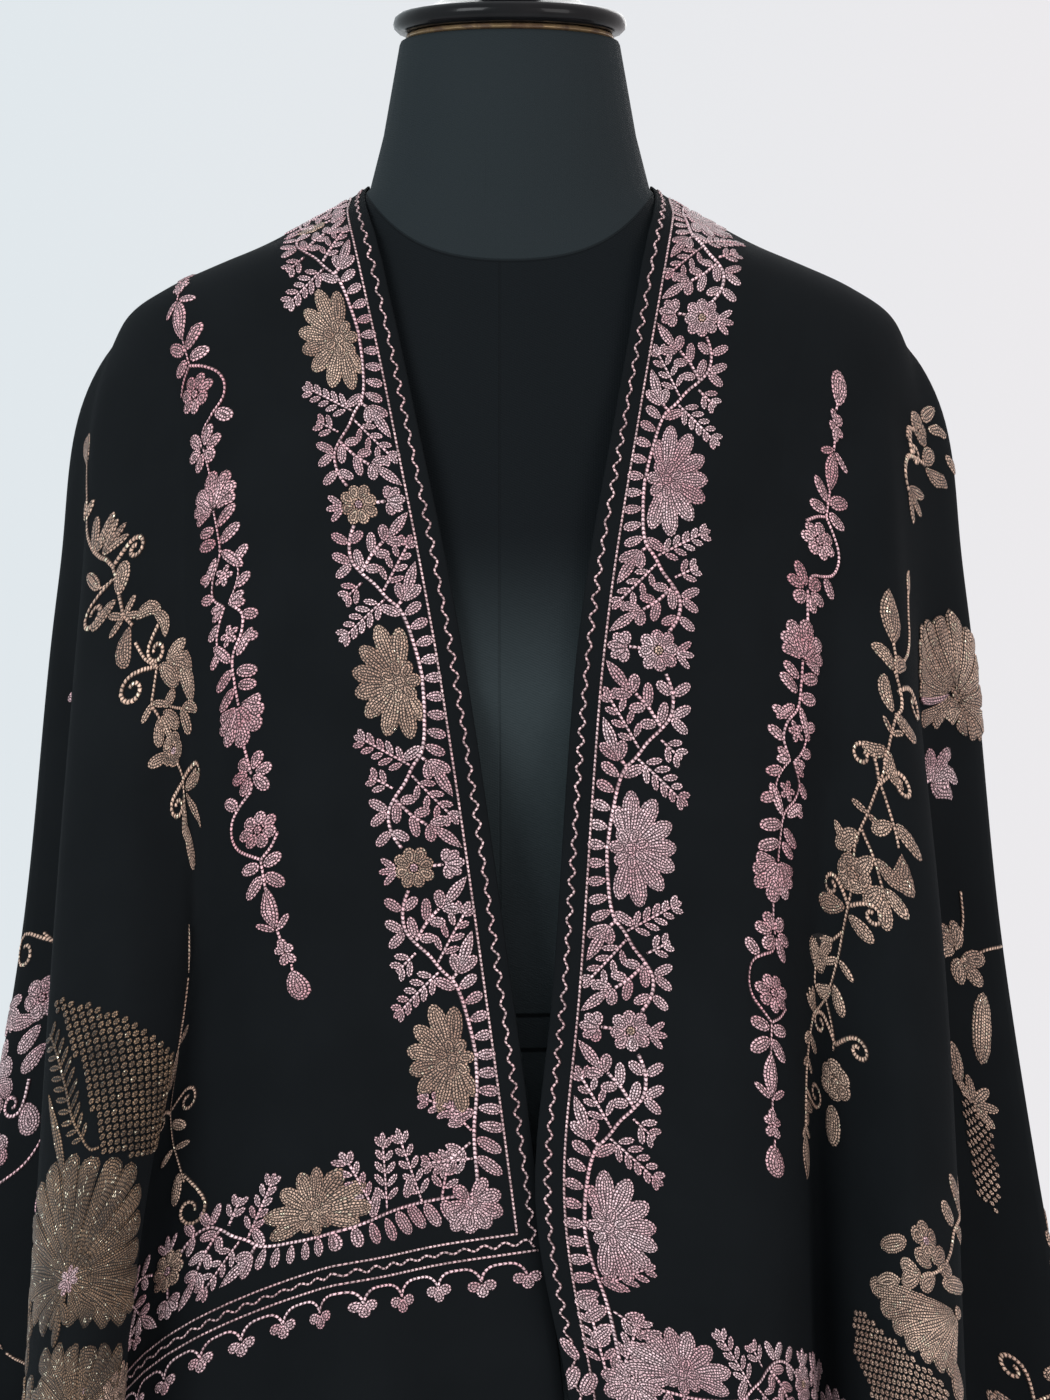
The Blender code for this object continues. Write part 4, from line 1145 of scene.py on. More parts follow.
def shoulder_spray(pen):
    """A small gold spray over the shoulder."""
    pen.draw(GOLD,
        ("oval", 25.0, 18.3, 23.3, 18.7, 0.5), ("round", 24.9, 18.8, 23.8, 19.8, 0.5),
        ("rosette", (25.8, 18.3), 0.8, 6, 0.62, None, 0.2, 0.4), ("stem", (26.4, 18.1), (27.0, 17.7), (27.6, 17.8)),
        ("curl", (26.8, 17.8), 0.4, 0.9), ("round", 27.0, 19.2, 25.5, 19.6, 0.66),
        ("round", 27.0, 19.5, 26.2, 21.2, 0.66),
        ("stem", (26.9, 19.4), (27.6, 18.7), (28.6, 18.1), (29.8, 18.4), (30.0, 18.8)),
        ("round", 29.9, 18.7, 28.3, 20.1, 0.46), ("round", 29.9, 18.7, 29.4, 20.4, 0.46),
        ("round", 29.9, 18.7, 30.8, 19.9, 0.46), ("oval", 25.0, 20.2, 24.5, 21.5, 0.55))


def right_vine(pen):
    """Gold vine beside the garland; X runs down the cloth, Y outward."""
    pen.draw(GOLD,
        ("cord", ((34.3, 20.1), (35.8, 20.0), (37.2, 20.0), (38.2, 20.1), (39.2, 20.0), (40.4, 19.5))),
        ("fan", (35.4, 20.0), 1.9, 0.42, "leaf", pi), ("leaf", 40.0, 18.6, 37.3, 17.9, 1.12, 1.1),
        ("stem", (39.9, 18.6), (40.5, 19.0), (41.5, 19.3)), ("oval", 41.0, 19.0, 40.6, 17.6, 0.72, 1.0, -0.14),
        ("oval", 41.0, 19.1, 39.9, 19.6, 0.6, 1.0, 0.12),
        ("stem", (41.0, 19.0), (42.0, 19.6), (43.0, 19.7), (44.0, 19.2), (45.0, 18.9), (46.4, 18.6)),
        ("curl", (42.2, 19.3), 2.6, 1.25, -1.0), ("oval", 43.9, 18.9, 42.3, 18.1, 0.7, 1.0, 0.1),
        ("oval", 43.9, 19.0, 43.5, 20.6, 0.72, 1.0, -0.1), ("pair", (45.0, 18.9), pi, 0.85, 0.3, 0.8),
        ("oval", 45.9, 18.6, 46.5, 17.3, 0.66, 1.0, 0.16), ("oval", 45.9, 18.7, 47.2, 19.9, 0.72, 1.0, -0.2),
        ("stem", (46.0, 18.6), (47.4, 18.3), (48.4, 17.9)), ("curl", (48.2, 17.9), 3.6, 1.2),
        ("curl", (48.2, 18.0), 2.6, 1.2, -1.0),
        # the branch on the outer side, with its comma leaf
        ("stem", (48.2, 18.0), (49.3, 18.6), (50.4, 19.1), (50.8, 19.2)), ("round", 49.8, 18.8, 50.9, 17.9, 0.66),
        ("oval", 49.8, 18.9, 50.0, 20.6, 0.78), ("comma", (50.9, 19.4), 0.1, 2.3, 1.0),
        # the branch that carries on down
        ("stem", (48.3, 17.9), (50.2, 16.9), (51.8, 16.0), (53.6, 15.7), (55.6, 15.7), (57.4, 15.6), (59.0, 15.5),
         (60.4, 15.1), (61.2, 14.7)), ("pair", (50.2, 16.9), -0.3, 0.95, 0.36, 1.5),
        ("oval", 51.4, 16.1, 52.8, 15.1, 0.84), ("stem", (51.2, 16.4), (52.4, 17.1), (53.8, 17.6), (54.8, 17.9)),
        ("round", 52.5, 17.1, 53.8, 16.5, 0.72), ("round", 52.5, 17.2, 53.1, 18.7, 0.72),
        ("round", 54.2, 17.7, 55.6, 17.1, 0.76), ("round", 54.2, 17.8, 54.7, 19.3, 0.76),
        ("round", 54.7, 17.9, 56.3, 18.3, 0.76), ("oval", 53.3, 15.5, 52.2, 14.2, 0.5),
        ("rosette", (54.6, 15.6), 1.05, 6, 0.86, None, 0.3, 0.5), ("curl", (56.4, 15.6), 3.9, 1.1),
        ("curl", (56.4, 15.7), 2.2, 1.1, -1.0), ("round", 56.6, 15.5, 57.2, 13.7, 0.94),
        ("round", 56.9, 15.7, 57.5, 17.2, 0.72), ("stem", (57.8, 15.5), (58.4, 14.8)),
        ("comma", (58.2, 15.0), -0.55, 2.9, -1.0), ("pair", (58.9, 15.6), 0.0, 1.15, 0.4, 0.95),
        ("round", 60.2, 15.3, 60.9, 14.1, 0.74, 1.0, 0.14), ("round", 60.0, 15.4, 61.4, 16.2, 0.66),
        # its two ends
        ("stem", (61.0, 14.9), (61.9, 14.2), (62.6, 13.6), (63.6, 13.4), (65.2, 13.3), (67.6, 13.3), (69.4, 13.4)),
        ("fan", (62.4, 13.8), 1.3, 0.38, "oval", 3.5, 3.9, 4.35), ("pair", (63.8, 13.4), 0.0, 1.1, 0.52, 0.8),
        ("pair", (65.2, 13.3), 0.0, 0.95, 0.34, 0.8), ("curl", (67.0, 13.3), 1.3, 1.4),
        ("pair", (67.8, 13.3), 0.9, 1.25, 0.56, 0.6), ("pair", (69.2, 13.4), 0.2, 0.9, 0.34, 0.9),
        ("leaf", 69.5, 13.4, 72.0, 13.6, 1.08, 1.1), ("stem", (61.0, 14.9), (62.2, 15.7), (63.6, 16.3)),
        ("curl", (63.2, 16.2), 3.9, 1.2), ("curl", (63.2, 16.3), 2.4, 1.2, -1.0),
        ("rosette", (65.1, 17.0), 1.15, 6, 0.86, None, 0.28, 0.2), ("oval", 66.4, 17.4, 68.6, 17.7, 0.95))


def left_vine(pen):
    """Gold vine on the other front; X runs down the cloth, Y outward."""
    pen.draw(GOLD,
        ("round", 26.6, 19.0, 24.2, 19.3, 0.95),
        ("stem", (26.4, 19.1), (28.0, 19.3), (29.4, 19.5), (31.2, 19.9), (32.8, 19.8), (34.4, 19.4), (36.2, 19.2),
         (37.8, 18.8), (39.3, 18.6)), ("dot", (29.2, 20.0), 0.4, 1.3), ("dot", (30.1, 19.4), 0.34, 1.3),
        ("oval", 33.2, 19.8, 31.4, 19.2, 0.5), ("oval", 33.4, 19.7, 32.4, 18.4, 0.64),
        ("fan", (34.0, 19.4), 1.5, 0.42, "oval", 4.0, 4.5, 5.0), ("curl", (36.0, 19.2), 4.4, 1.15),
        ("cord", ((37.4, 18.9), (36.8, 19.9), (35.6, 20.5))), ("oval", 36.6, 20.1, 34.8, 20.5, 0.44),
        ("curl", (37.2, 19.2), 1.6, 1.3, -1.0), ("round", 39.2, 18.6, 37.6, 18.0, 0.8),
        ("round", 39.2, 18.8, 39.3, 20.4, 0.66), ("stem", (39.2, 18.6), (40.6, 18.3), (41.6, 18.0)),
        ("fan", (40.7, 18.3), 1.05, 0.36, "oval", 2.4, 4.1, 1.2, 5.3),
        # a pair of comma leaves that curl round each other
        ("round", 41.4, 18.2, 43.3, 19.0, 0.78, 1.1, 0.1), ("oval", 41.3, 17.8, 41.9, 16.2, 0.66, 1.1, -0.16),
        ("oval", 41.8, 16.5, 43.4, 16.2, 0.6, 1.1, -0.18), ("curl", (42.6, 16.4), 0.9, 1.2, -1.0),
        ("stem", (42.6, 18.2), (44.0, 17.9), (44.8, 17.3)), ("curl", (44.7, 17.5), 1.9, 1.45, -1.0),
        ("round", 44.7, 17.2, 46.4, 16.2, 0.92), ("round", 44.9, 16.7, 44.6, 15.2, 0.72),
        ("oval", 45.0, 16.4, 46.5, 15.0, 0.78, 1.0, -0.14), ("oval", 46.2, 15.3, 48.4, 15.0, 0.86, 1.0, -0.08),
        ("stem", (44.8, 17.4), (46.4, 17.6), (47.6, 17.7), (48.6, 17.4), (49.6, 17.2)),
        ("pair", (47.4, 17.7), 0.0, 1.05, 0.36, 1.0), ("round", 48.7, 17.4, 50.1, 17.9, 0.68),
        ("oval", 48.7, 17.2, 50.4, 16.9, 0.4), ("round", 48.5, 17.0, 49.9, 16.1, 0.72),
        ("round", 48.4, 16.9, 48.0, 15.8, 0.6), ("oval", 49.4, 15.4, 51.0, 15.2, 0.5),
        ("oval", 49.4, 15.3, 50.2, 14.1, 0.56), ("cord", ((48.6, 16.4), (49.2, 15.7), (49.5, 15.3))),
        ("rosette", (51.7, 16.7), 0.95, 5, 0.76, ROSE, 0.2, 0.1), ("oval", 51.7, 17.3, 51.5, 18.6, 0.58),
        ("cord", ((50.4, 17.0), (51.2, 16.8))),
        ("stem", (52.4, 16.6), (53.6, 16.1), (54.6, 15.9), (56.0, 15.6), (57.2, 15.6)),
        ("curl", (54.2, 16.0), 1.3, 1.15, -1.0), ("curl", (54.0, 16.0), 4.6, 1.1),
        ("round", 54.9, 15.7, 54.9, 14.2, 0.7), ("petal", 55.0, 15.9, 57.2, 16.5, 0.62),
        ("oval", 55.2, 15.5, 57.6, 14.6, 0.36), ("oval", 57.1, 15.6, 59.9, 15.1, 0.72, 1.1))


def left_lower_vine(pen):
    """The thin branch further down, out by the fold."""
    pen.draw(GOLD,
        ("cord", ((57.4, 20.2), (58.2, 20.3), (60.2, 20.3), (62.4, 20.0), (64.4, 19.6), (66.4, 18.9), (68.4, 18.0),
         (69.6, 17.5))), ("fan", (57.2, 20.2), 2.6, 0.4, "leaf", pi), ("round", 61.2, 20.2, 60.6, 19.0, 0.62),
        ("oval", 61.4, 20.2, 63.8, 20.3, 0.6), ("curl", (65.2, 19.3), 4.2, 1.5),
        ("curl", (65.4, 19.3), 1.9, 1.1, -1.0), ("oval", 66.0, 19.0, 66.6, 17.6, 0.68),
        ("oval", 67.6, 18.4, 67.5, 17.2, 0.42), ("oval", 67.6, 18.5, 68.3, 19.6, 0.54),
        ("oval", 69.0, 17.9, 70.8, 18.2, 0.76), ("curl", (69.2, 17.6), 5.6, 1.9))


def great_flower(pen, thread, centre, tips, eye=None, eye_size=0.62, fill=0.88, height=1.0):
    """A large fan of long petals that run from one eye to their own tips, each as wide as its share."""
    centre, tips = np.asarray(centre, dtype=float), np.asarray(tips, dtype=float)
    spaces = np.linalg.norm(np.diff(tips, axis=0), axis=1)
    widths = fill * (np.append(spaces[0], spaces) + np.append(spaces, spaces[-1])) / 2.0
    for number, (tip, width) in enumerate(zip(tips, widths)):
        pen.petal(thread, centre + 0.06 * tip, centre + tip, width, "strip", height + 0.3 * (number % 2))
    pen.bead(thread, centre, 0.34 * widths[0], 1.6)
    if eye:
        for tip in tips[::2]:
            pen.petal(thread, centre, centre + 0.3 * tip, 0.7, "oval", 1.9)
        for k in range(7):
            angle = 2.0 * pi * k / 7.0
            pen.petal(eye, centre, centre + eye_size * np.array([cos(angle), 1.3 * sin(angle)]), 0.5, "round", 2.4)


def bead_field(pen, thread, corners, step=0.4, rows=((19.0, 0.95), (25.0, 0.5), (30.0, 0.42))):
    """Small round dots set close together inside a convex outline; rows gives their spacing across the cloth."""
    corners = np.array(corners)
    edges = np.roll(corners, -1, axis=0) - corners
    inward = np.stack([-edges[:, 1], edges[:, 0]], axis=1)
    inward *= np.sign(np.sum(inward * (corners.mean(axis=0) - corners), axis=1))[:, None]
    across, number = corners[:, 1].min(), 0
    while across < corners[:, 1].max():
        gap = np.interp(across, *zip(*rows))
        for along in np.arange(corners[:, 0].min() + step * 0.5 * (number % 2), corners[:, 0].max(), step):
            if np.all(np.sum(inward * ((along, across) - corners), axis=1) >= 0.0):
                pen.petal(thread, (along - 0.46 * step, across), (along + 0.46 * step, across), gap * 0.92, "bead", 1.2)
        across += gap * 0.88
        number += 1


def feather(pen, thread, points, pairs, length=0.95, width=0.3):
    """A stem with slanted leaflets all the way along, herringbone fashion."""
    pen.cord(thread, points)
    points = np.array(points)
    along = lengths_along(points)
    for k in range(pairs):
        here, ahead = spline(along, points, [along[-1] * (k + 0.5) / pairs, along[-1] * (k + 0.6) / pairs])
        heading = np.arctan2(*(ahead - here)[::-1])
        size = length * (0.72 + 0.28 * sin(pi * (k + 0.5) / pairs))
        for side in (-1.0, 1.0):
            pen.leaf(thread, here, heading + side * 0.85, size, width, "leaflet", height=0.85)


LEFT_GREAT_TIPS = ((1.1, 1.7), (0.6, 3.2), (-0.9, 4.0), (-2.7, 4.2), (-4.5, 4.0), (-6.0, 3.3), (-6.8, 1.9),
                   (-6.8, 0.4), (-6.2, -1.1), (-5.2, -2.5), (-4.1, -4.1), (-3.0, -5.3), (-1.4, -5.8), (0.2, -5.8),
                   (1.8, -5.7), (3.4, -5.7), (4.7, -5.3), (4.6, -4.0), (3.9, -2.6), (3.1, -1.3), (2.4, 0.1))
LOWER_GREAT_TIPS = ((-5.0, 2.6), (-4.4, 1.2), (-3.6, -0.2), (-2.7, -1.7), (-1.8, -3.1), (-0.8, -4.4), (0.7, -4.9),
                    (2.1, -4.3), (3.3, -3.0), (4.0, -1.3), (4.0, 0.4), (3.2, 1.8), (1.8, 2.8), (0.0, 3.4), (-1.8, 3.7),
                    (-3.6, 3.5))
RIGHT_GREAT_TIPS = ((1.8, -2.6), (1.2, -3.5), (0.4, -4.2), (-0.5, -4.4), (-1.5, -4.0), (-2.4, -3.3), (-3.4, -2.4),
                    (-4.0, -1.0), (-3.7, 0.7), (-2.7, 2.1), (-1.3, 2.8))
RIGHT_LEAF_TIPS = ((2.8, -1.9), (2.3, -0.9), (1.8, -0.1), (1.3, 0.8), (0.7, 1.6), (0.1, 2.1))
RIGHT_FAN_TIPS = ((3.1, -6.8), (3.7, -5.8), (4.0, -4.7), (4.2, -3.5), (4.1, -2.3), (3.9, -1.1), (3.6, 0.1))
LEFT_BEADS = ((52.6, 29.1), (62.7, 20.5), (65.5, 22.6), (64.2, 25.6), (62.6, 27.8))
RIGHT_BEADS = ((73.1, 24.3), (75.4, 24.9), (76.9, 27.0), (77.0, 30.4), (75.4, 32.6), (72.5, 32.4))


def left_arm(pen):
    """The large motifs on the part of the cloth that hangs over the arm."""
    # The gold work here is in the gold thread painted darker, as painted shade over this arm.
    bead_field(pen, GOLD_IN_SHADE, LEFT_BEADS)
    feather(pen, GOLD_IN_SHADE, [(61.4, 28.9), (59.8, 29.4), (57.6, 29.5), (55.6, 29.6), (54.2, 29.8)], 11, 1.05, 0.36)
    pen.draw(GOLD_IN_SHADE,
        ("leaf", 62.6, 30.5, 57.0, 30.7, 0.62), ("cord", ((61.4, 28.9), (62.0, 28.5), (62.2, 28.0)), 0.2))
    great_flower(pen, GOLD_IN_SHADE, (67.5, 31.0), LEFT_GREAT_TIPS, ROSE, 0.72)
    great_flower(pen, GOLD_IN_SHADE, (74.4, 31.7), LOWER_GREAT_TIPS, ROSE, 0.6)
    pen.draw(GOLD_IN_SHADE,
        ("round", 68.2, 31.8, 68.9, 33.1, 0.8, 1.9), ("round", 68.2, 31.8, 69.6, 31.6, 0.8, 1.9),
        ("round", 68.2, 31.8, 70.0, 33.0, 0.8, 1.9))
    # small work between the great flowers and the fold
    pen.draw(ROSE,
        ("rosette", (53.4, 34.6), 1.25, 6, 0.9, GOLD, 0.22, 0.0),
        ("stem", (54.4, 35.0), (56.4, 35.4), (58.4, 35.6), (60.2, 35.2)))
    for root, turn in (((55.4, 35.2), 1.2), ((55.6, 35.0), 4.9), ((57.4, 35.5), 1.0), ((57.6, 35.3), 5.2),
                       ((59.6, 35.5), 0.2), ((59.6, 35.3), 5.0)):
        pen.leaf(ROSE, root, turn, 1.5, 0.8, "round")
    # higher up, beside the fold
    pen.draw(ROSE,
        ("rosette", (36.4, 27.4), 0.95, 5, 0.74, GOLD, 0.2, 0.3),
        ("stem", (34.6, 27.2), (36.4, 27.6), (38.4, 28.2), (40.4, 28.9), (42.4, 29.6)),
        ("pair", (38.4, 28.2), 0.3, 1.45, 0.66, 0.9), ("pair", (40.4, 28.9), 0.3, 1.35, 0.6, 1.0),
        ("pair", (35.0, 27.3), pi, 1.25, 0.62, 0.8), ("fan", (42.4, 29.6), 1.5, 0.7, "round", -0.9, -0.2, 0.5, 1.2))
    pen.draw(GOLD,
        ("stem", (41.4, 33.8), (43.2, 33.9), (45.2, 33.6), (47.0, 33.0)), ("curl", (42.4, 33.9), 3.6, 1.9),
        ("pair", (44.2, 33.8), 0.0, 1.4, 0.6, 0.9), ("pair", (45.6, 33.5), 0.0, 1.3, 0.6, 1.1),
        ("oval", 46.8, 33.1, 49.4, 32.8, 1.05, 1.0, 0.1))


def right_arm(pen):
    """The large motifs over the other arm."""
    great_flower(pen, GOLD, (34.6, 27.2), RIGHT_GREAT_TIPS, fill=0.9, height=2.3)
    pen.petal(ROSE, (35.0, 26.9), (36.7, 24.9), 0.45, "oval", 3.4)
    great_flower(pen, GOLD, (34.3, 27.8), RIGHT_LEAF_TIPS, fill=0.85)
    # a rose spray with a curled stem
    pen.draw(ROSE,
        ("cord", ((38.6, 28.6), (39.6, 27.8), (40.6, 27.2), (41.4, 27.0)), 0.26),
        ("curl", (41.0, 27.0), 0.3, 1.8, 1.0, 1.1), ("fan", (38.8, 28.6), 1.75, 0.95, "round", 1.5, 2.3, 3.1, 3.9))
    pen.draw(GOLD,
        ("fan", (44.6, 35.2), 1.5, 0.95, "round", 0.4, 1.5, 2.6), ("stem", (44.6, 35.2), (43.0, 35.8), (41.8, 36.8)),
        # down the fold
        ("oval", 48.2, 31.2, 44.9, 33.2, 1.15, 1.1), ("round", 50.4, 31.2, 48.9, 32.6, 0.95, 1.1),
        ("round", 51.9, 31.3, 50.9, 32.3, 0.75, 1.0))
    feather(pen, GOLD, [(62.4, 33.2), (60.2, 33.4), (57.6, 33.4), (55.0, 33.3), (53.2, 33.4)], 13, 1.15)
    pen.draw(GOLD,
        ("stem", (61.6, 31.8), (63.2, 31.3), (64.6, 30.6), (66.0, 30.5), (67.2, 30.0), (68.6, 28.7)),
        ("petals", 0.98, "oval", (62.6, 31.8, 60.3, 31.4), (63.0, 31.4, 62.2, 29.4), (64.4, 30.5, 64.0, 29.1),
         (64.5, 30.8, 62.9, 33.4), (66.4, 32.6, 67.9, 30.2), (65.6, 33.6, 63.9, 34.2)))
    for turn in (0.3, 1.35, 2.5, 3.7, 4.9):
        pen.petal(GOLD, (66.7, 28.5), (66.7 + 0.95 * cos(turn), 28.5 + 1.05 * sin(turn)), 0.95, "round")
    pen.bead(ROSE, (66.7, 28.5), 0.24, 1.8)
    pen.draw(GOLD,
        ("oval", 67.5, 27.4, 69.0, 25.5, 1.0),
        ("petals", 1.0, "round", (67.4, 29.2, 66.2, 30.0), (67.6, 29.3, 67.7, 27.9), (68.5, 28.7, 68.9, 27.1),
         (68.6, 28.6, 69.8, 27.5), (67.8, 29.6, 69.2, 28.8), (67.3, 29.6, 66.8, 31.0)),
        ("leaf", 69.6, 27.4, 71.1, 25.5, 1.0))
    great_flower(pen, GOLD, (68.3, 32.0), RIGHT_FAN_TIPS, fill=0.98)
    bead_field(pen, GOLD, RIGHT_BEADS, 0.36, ((24.0, 0.36), (30.0, 0.46), (33.0, 0.8)))
    for tip in ((72.4, 33.6), (75.0, 33.9), (77.8, 33.9), (80.8, 33.6)):
        pen.petal(GOLD, (tip[0] - 2.0, 31.6), tip, 1.5, "petal", 1.1)


def behind_left_fold(pen):
    """Flowers and leaves on the cloth that shows past the fold over the arm."""
    pen.draw(ROSE,
        ("rosette", (44.0, 38.2), 1.2, 6, 1.0, None, 0.2, 0.0),
        ("petals", 0.95, "round", (44.6, 38.9, 43.4, 40.6), (45.0, 39.0, 45.2, 40.8), (46.0, 39.4, 46.2, 41.2)),
        ("curl", (46.8, 41.0), 0.9, 1.4), ("rosette", (44.6, 43.4), 2.4, 10, 1.15, GOLD, 0.4, 0.0, "petal"),
        ("round", 47.6, 41.8, 49.3, 42.6, 1.25), ("rosette", (48.2, 44.8), 1.3, 7, 1.0, None, 0.2, 0.3),
        ("stem", (49.8, 41.9), (50.2, 43.6), (49.9, 45.2)))
    # These rosettes are in the gold thread painted darker, as painted shade.
    pen.draw(GOLD_IN_SHADE,
        ("rosette", (55.6, 51.6), 1.6, 8, 1.0, ROSE, 0.3, 0.0),
        ("rosette", (53.2, 50.2), 1.2, 7, 0.9, ROSE, 0.25, 0.0))


def behind_right_fold(pen):
    """Beads and leaflets down the cloth that shows past the fold over the other arm."""
    bead_field(pen, GOLD, ((50.4, 38.8), (50.4, 40.6), (52.0, 42.2), (54.0, 43.4), (54.2, 42.2), (52.2, 40.4)), 0.3,
               ((38.0, 0.36), (44.0, 0.36)))
    pen.draw(GOLD,
        ("fan", (50.3, 39.6), 1.4, 0.6, "oval", 2.3, 3.1, 3.9, 4.7, 1.5))


def corner(neck, end, neck_reach, end_reach):
    """Sprays that fill the corner between the last flower along the edge and the first across the end.

    Both pens start at their own flower; X runs to the corner and Y in from the pen's own line.
    """
    for pen, reach in ((neck, neck_reach), (end, end_reach)):
        pen.stem(ROSE, (0.0, 1.6), (1.0, 1.66), (2.2, 1.85), (3.4, 2.1), (reach - 2.6, 2.3))
        for t in np.arange(0.0, min(3.9, reach - 3.4), 0.84):
            pen.petal(ROSE, (t, 1.62 + 0.09 * t), (t + 0.12 * t, 0.66), 0.66, "round", 0.95)
        pen.petal(ROSE, (2.6, 2.0), (3.1, 3.2), 0.66, "oval")
    neck.draw(ROSE,
        ("sprig", (2.9, 2.2), 2.0, 2.6, 4, 0.05), ("sprig", (4.2, 2.4), 1.05, 2.1, 3, -0.05),
        ("oval", 4.0, 2.1, 4.9, 0.95, 0.72), ("oval", 4.9, 2.2, 6.0, 1.05, 0.72))
    end.draw(ROSE,
        ("sprig", (2.9, 2.1), 2.05, 3.3, 5, -0.08), ("sprig", (3.5, 2.3), 1.45, 3.4, 5, 0.05),
        ("oval", 4.0, 2.1, 4.7, 0.8, 0.74), ("oval", 4.7, 2.3, 5.5, 0.95, 0.74), ("oval", 4.6, 2.6, 5.2, 3.7, 0.66))
    if end_reach > WIDE_CORNER:
        # the wider corner holds more sprigs and leaves between the borders
        end.draw(ROSE,
            ("sprig", (5.5, 2.2), 1.75, 3.6, 5, 0.05), ("sprig", (6.5, 2.3), 1.3, 2.2, 3),
            ("oval", 5.6, 2.2, 6.3, 0.9, 0.74), ("oval", 6.5, 2.2, 7.1, 0.9, 0.74))
        neck.draw(ROSE,
            ("sprig", (5.0, 2.4), 1.55, 2.4, 4, 0.06), ("sprig", (3.6, 2.3), 2.5, 2.2, 3))
    # the flower in the corner itself, fanned towards it
    middle = np.array([neck_reach - 1.9, 2.75])
    for x, y, width in ((1.35, 1.1, 0.92), (1.62, 0.25, 1.0), (1.45, -0.75, 1.0), (0.85, -1.5, 0.98),
                        (-0.2, -1.55, 0.92), (-1.1, -0.9, 0.8), (-0.9, 0.75, 0.78), (0.3, 1.45, 0.8)):
        tip = np.array([x, y])
        neck.petal(ROSE, middle + 0.1 * tip, middle + tip, width, "round", 1.1)
    neck.bead(ROSE, middle, 0.3, 1.9)


def embroidery():
    """All of the stitched work, gathered by thread."""
    chance = np.random.default_rng(SEED)
    work = {name: Thread() for name in (ROSE, ROSE_FAR, GOLD, PINK, GOLD_IN_SHADE, EDGE)}
    far_work = {**work, ROSE: work[ROSE_FAR]}
    border(work, "neck", NECK_FLOWERS, [GOLD if place < GOLD_UNTIL else ROSE for place in NECK_FLOWERS], chance)
    border(far_work, "hem", HEM_FLOWERS, [GOLD if place < 0.0 else ROSE for place in HEM_FLOWERS], chance)
    border(work, "left end", LEFT_END_FLOWERS, [GOLD] * len(LEFT_END_FLOWERS), chance)
    border(work, "right end", RIGHT_END_FLOWERS, [ROSE] * len(RIGHT_END_FLOWERS), chance)
    for along, across, last, line, depth in (("neck", "left end", -66.0, LEFT_LINE, 10.7),
                                             ("neck", "right end", 73.8, RIGHT_LINE, 5.3),
                                             ("hem", "left end", -65.0, LEFT_LINE + LEFT_DROP, 9.0),
                                             ("hem", "right end", 75.0, RIGHT_LINE, 5.0)):
        first, heading = (ACROSS - depth, 1.0) if along == "hem" else (depth, -1.0)
        neck = pen_on(work, along, chance, last, np.sign(last))
        end = pen_on(work, across, chance, first, heading)
        corner(neck, end, line - abs(last), depth)
    lines(work, chance)
    for strip in ("left end", "right end"):
        hanging_trefoils(pen_on(work, strip, chance), *TREFOIL_ENDS)
    for strip, path, line in (("left", LEFT_GARLAND, LEFT_LINE), ("left far", LEFT_GARLAND, LEFT_LINE),
                              ("right", RIGHT_GARLAND, RIGHT_LINE), ("right far", RIGHT_GARLAND, RIGHT_LINE)):
        garland(work, path, line, strip, chance)
        pen = pen_on(work, strip, chance)
        if strip.startswith("left"):
            left_arm(pen)
            left_lower_vine(pen)
            if strip == "left":
                behind_left_fold(pen)
            pen.route, (pen.wide, pen.bulk) = along_route(LEFT_ROUTE), VINES["left"]
            left_vine(pen)
        else:
            right_arm(pen)
            pen.bulk = SPRAY_BULK
            shoulder_spray(pen)
            pen.bulk = 1.0
            if strip == "right":
                behind_right_fold(pen)
            pen.route, (pen.wide, pen.bulk) = along_route(RIGHT_ROUTE), VINES["right"]
            right_vine(pen)
    return work


# ---- finishes ----
class Amount:
    """A number that varies over a surface; plain arithmetic on it adds the nodes that work it out."""

    def __init__(self, finish, socket):
        self.finish = finish
        self.socket = socket

    def worked(self, operation, *values):
        node = self.finish.node("ShaderNodeMath", {"operation": operation}, dict(enumerate(values)))
        return Amount(self.finish, node.outputs[0])

    def __add__(self, other):
        return self.worked("ADD", self, other)

    def __sub__(self, other):
        return self.worked("SUBTRACT", self, other)

    def __rsub__(self, other):
        return self.worked("SUBTRACT", other, self)

    def __mul__(self, other):
        return self.worked("MULTIPLY", self, other)

    def __truediv__(self, other):
        return self.worked("DIVIDE", self, other)

    __radd__ = __add__
    __rmul__ = __mul__

    def fraction(self):
        return self.worked("FRACT", self)

    def whole(self):
        return self.worked("FLOOR", self)

    def size(self):
        return self.worked("ABSOLUTE", self)

    def wave(self):
        return self.worked("SINE", self)

    def least(self, other):
        return self.worked("MINIMUM", self, other)

    def ribs(self, length):
        """Goes up and down between 0 and 1 once in this length."""
        return (self * (2.0 * pi / length)).wave() * 0.5 + 0.5

    def rise(self, low, high):
        """0 below low, 1 above high, and a smooth step between."""
        node = self.finish.node("ShaderNodeMapRange", {"interpolation_type": "SMOOTHSTEP"},
                                {0: self, 1: low, 2: high})
        return Amount(self.finish, node.outputs[0])

    def fall(self, low, high):
        """1 below low, 0 above high, and a smooth step between."""
        return 1.0 - self.rise(low, high)


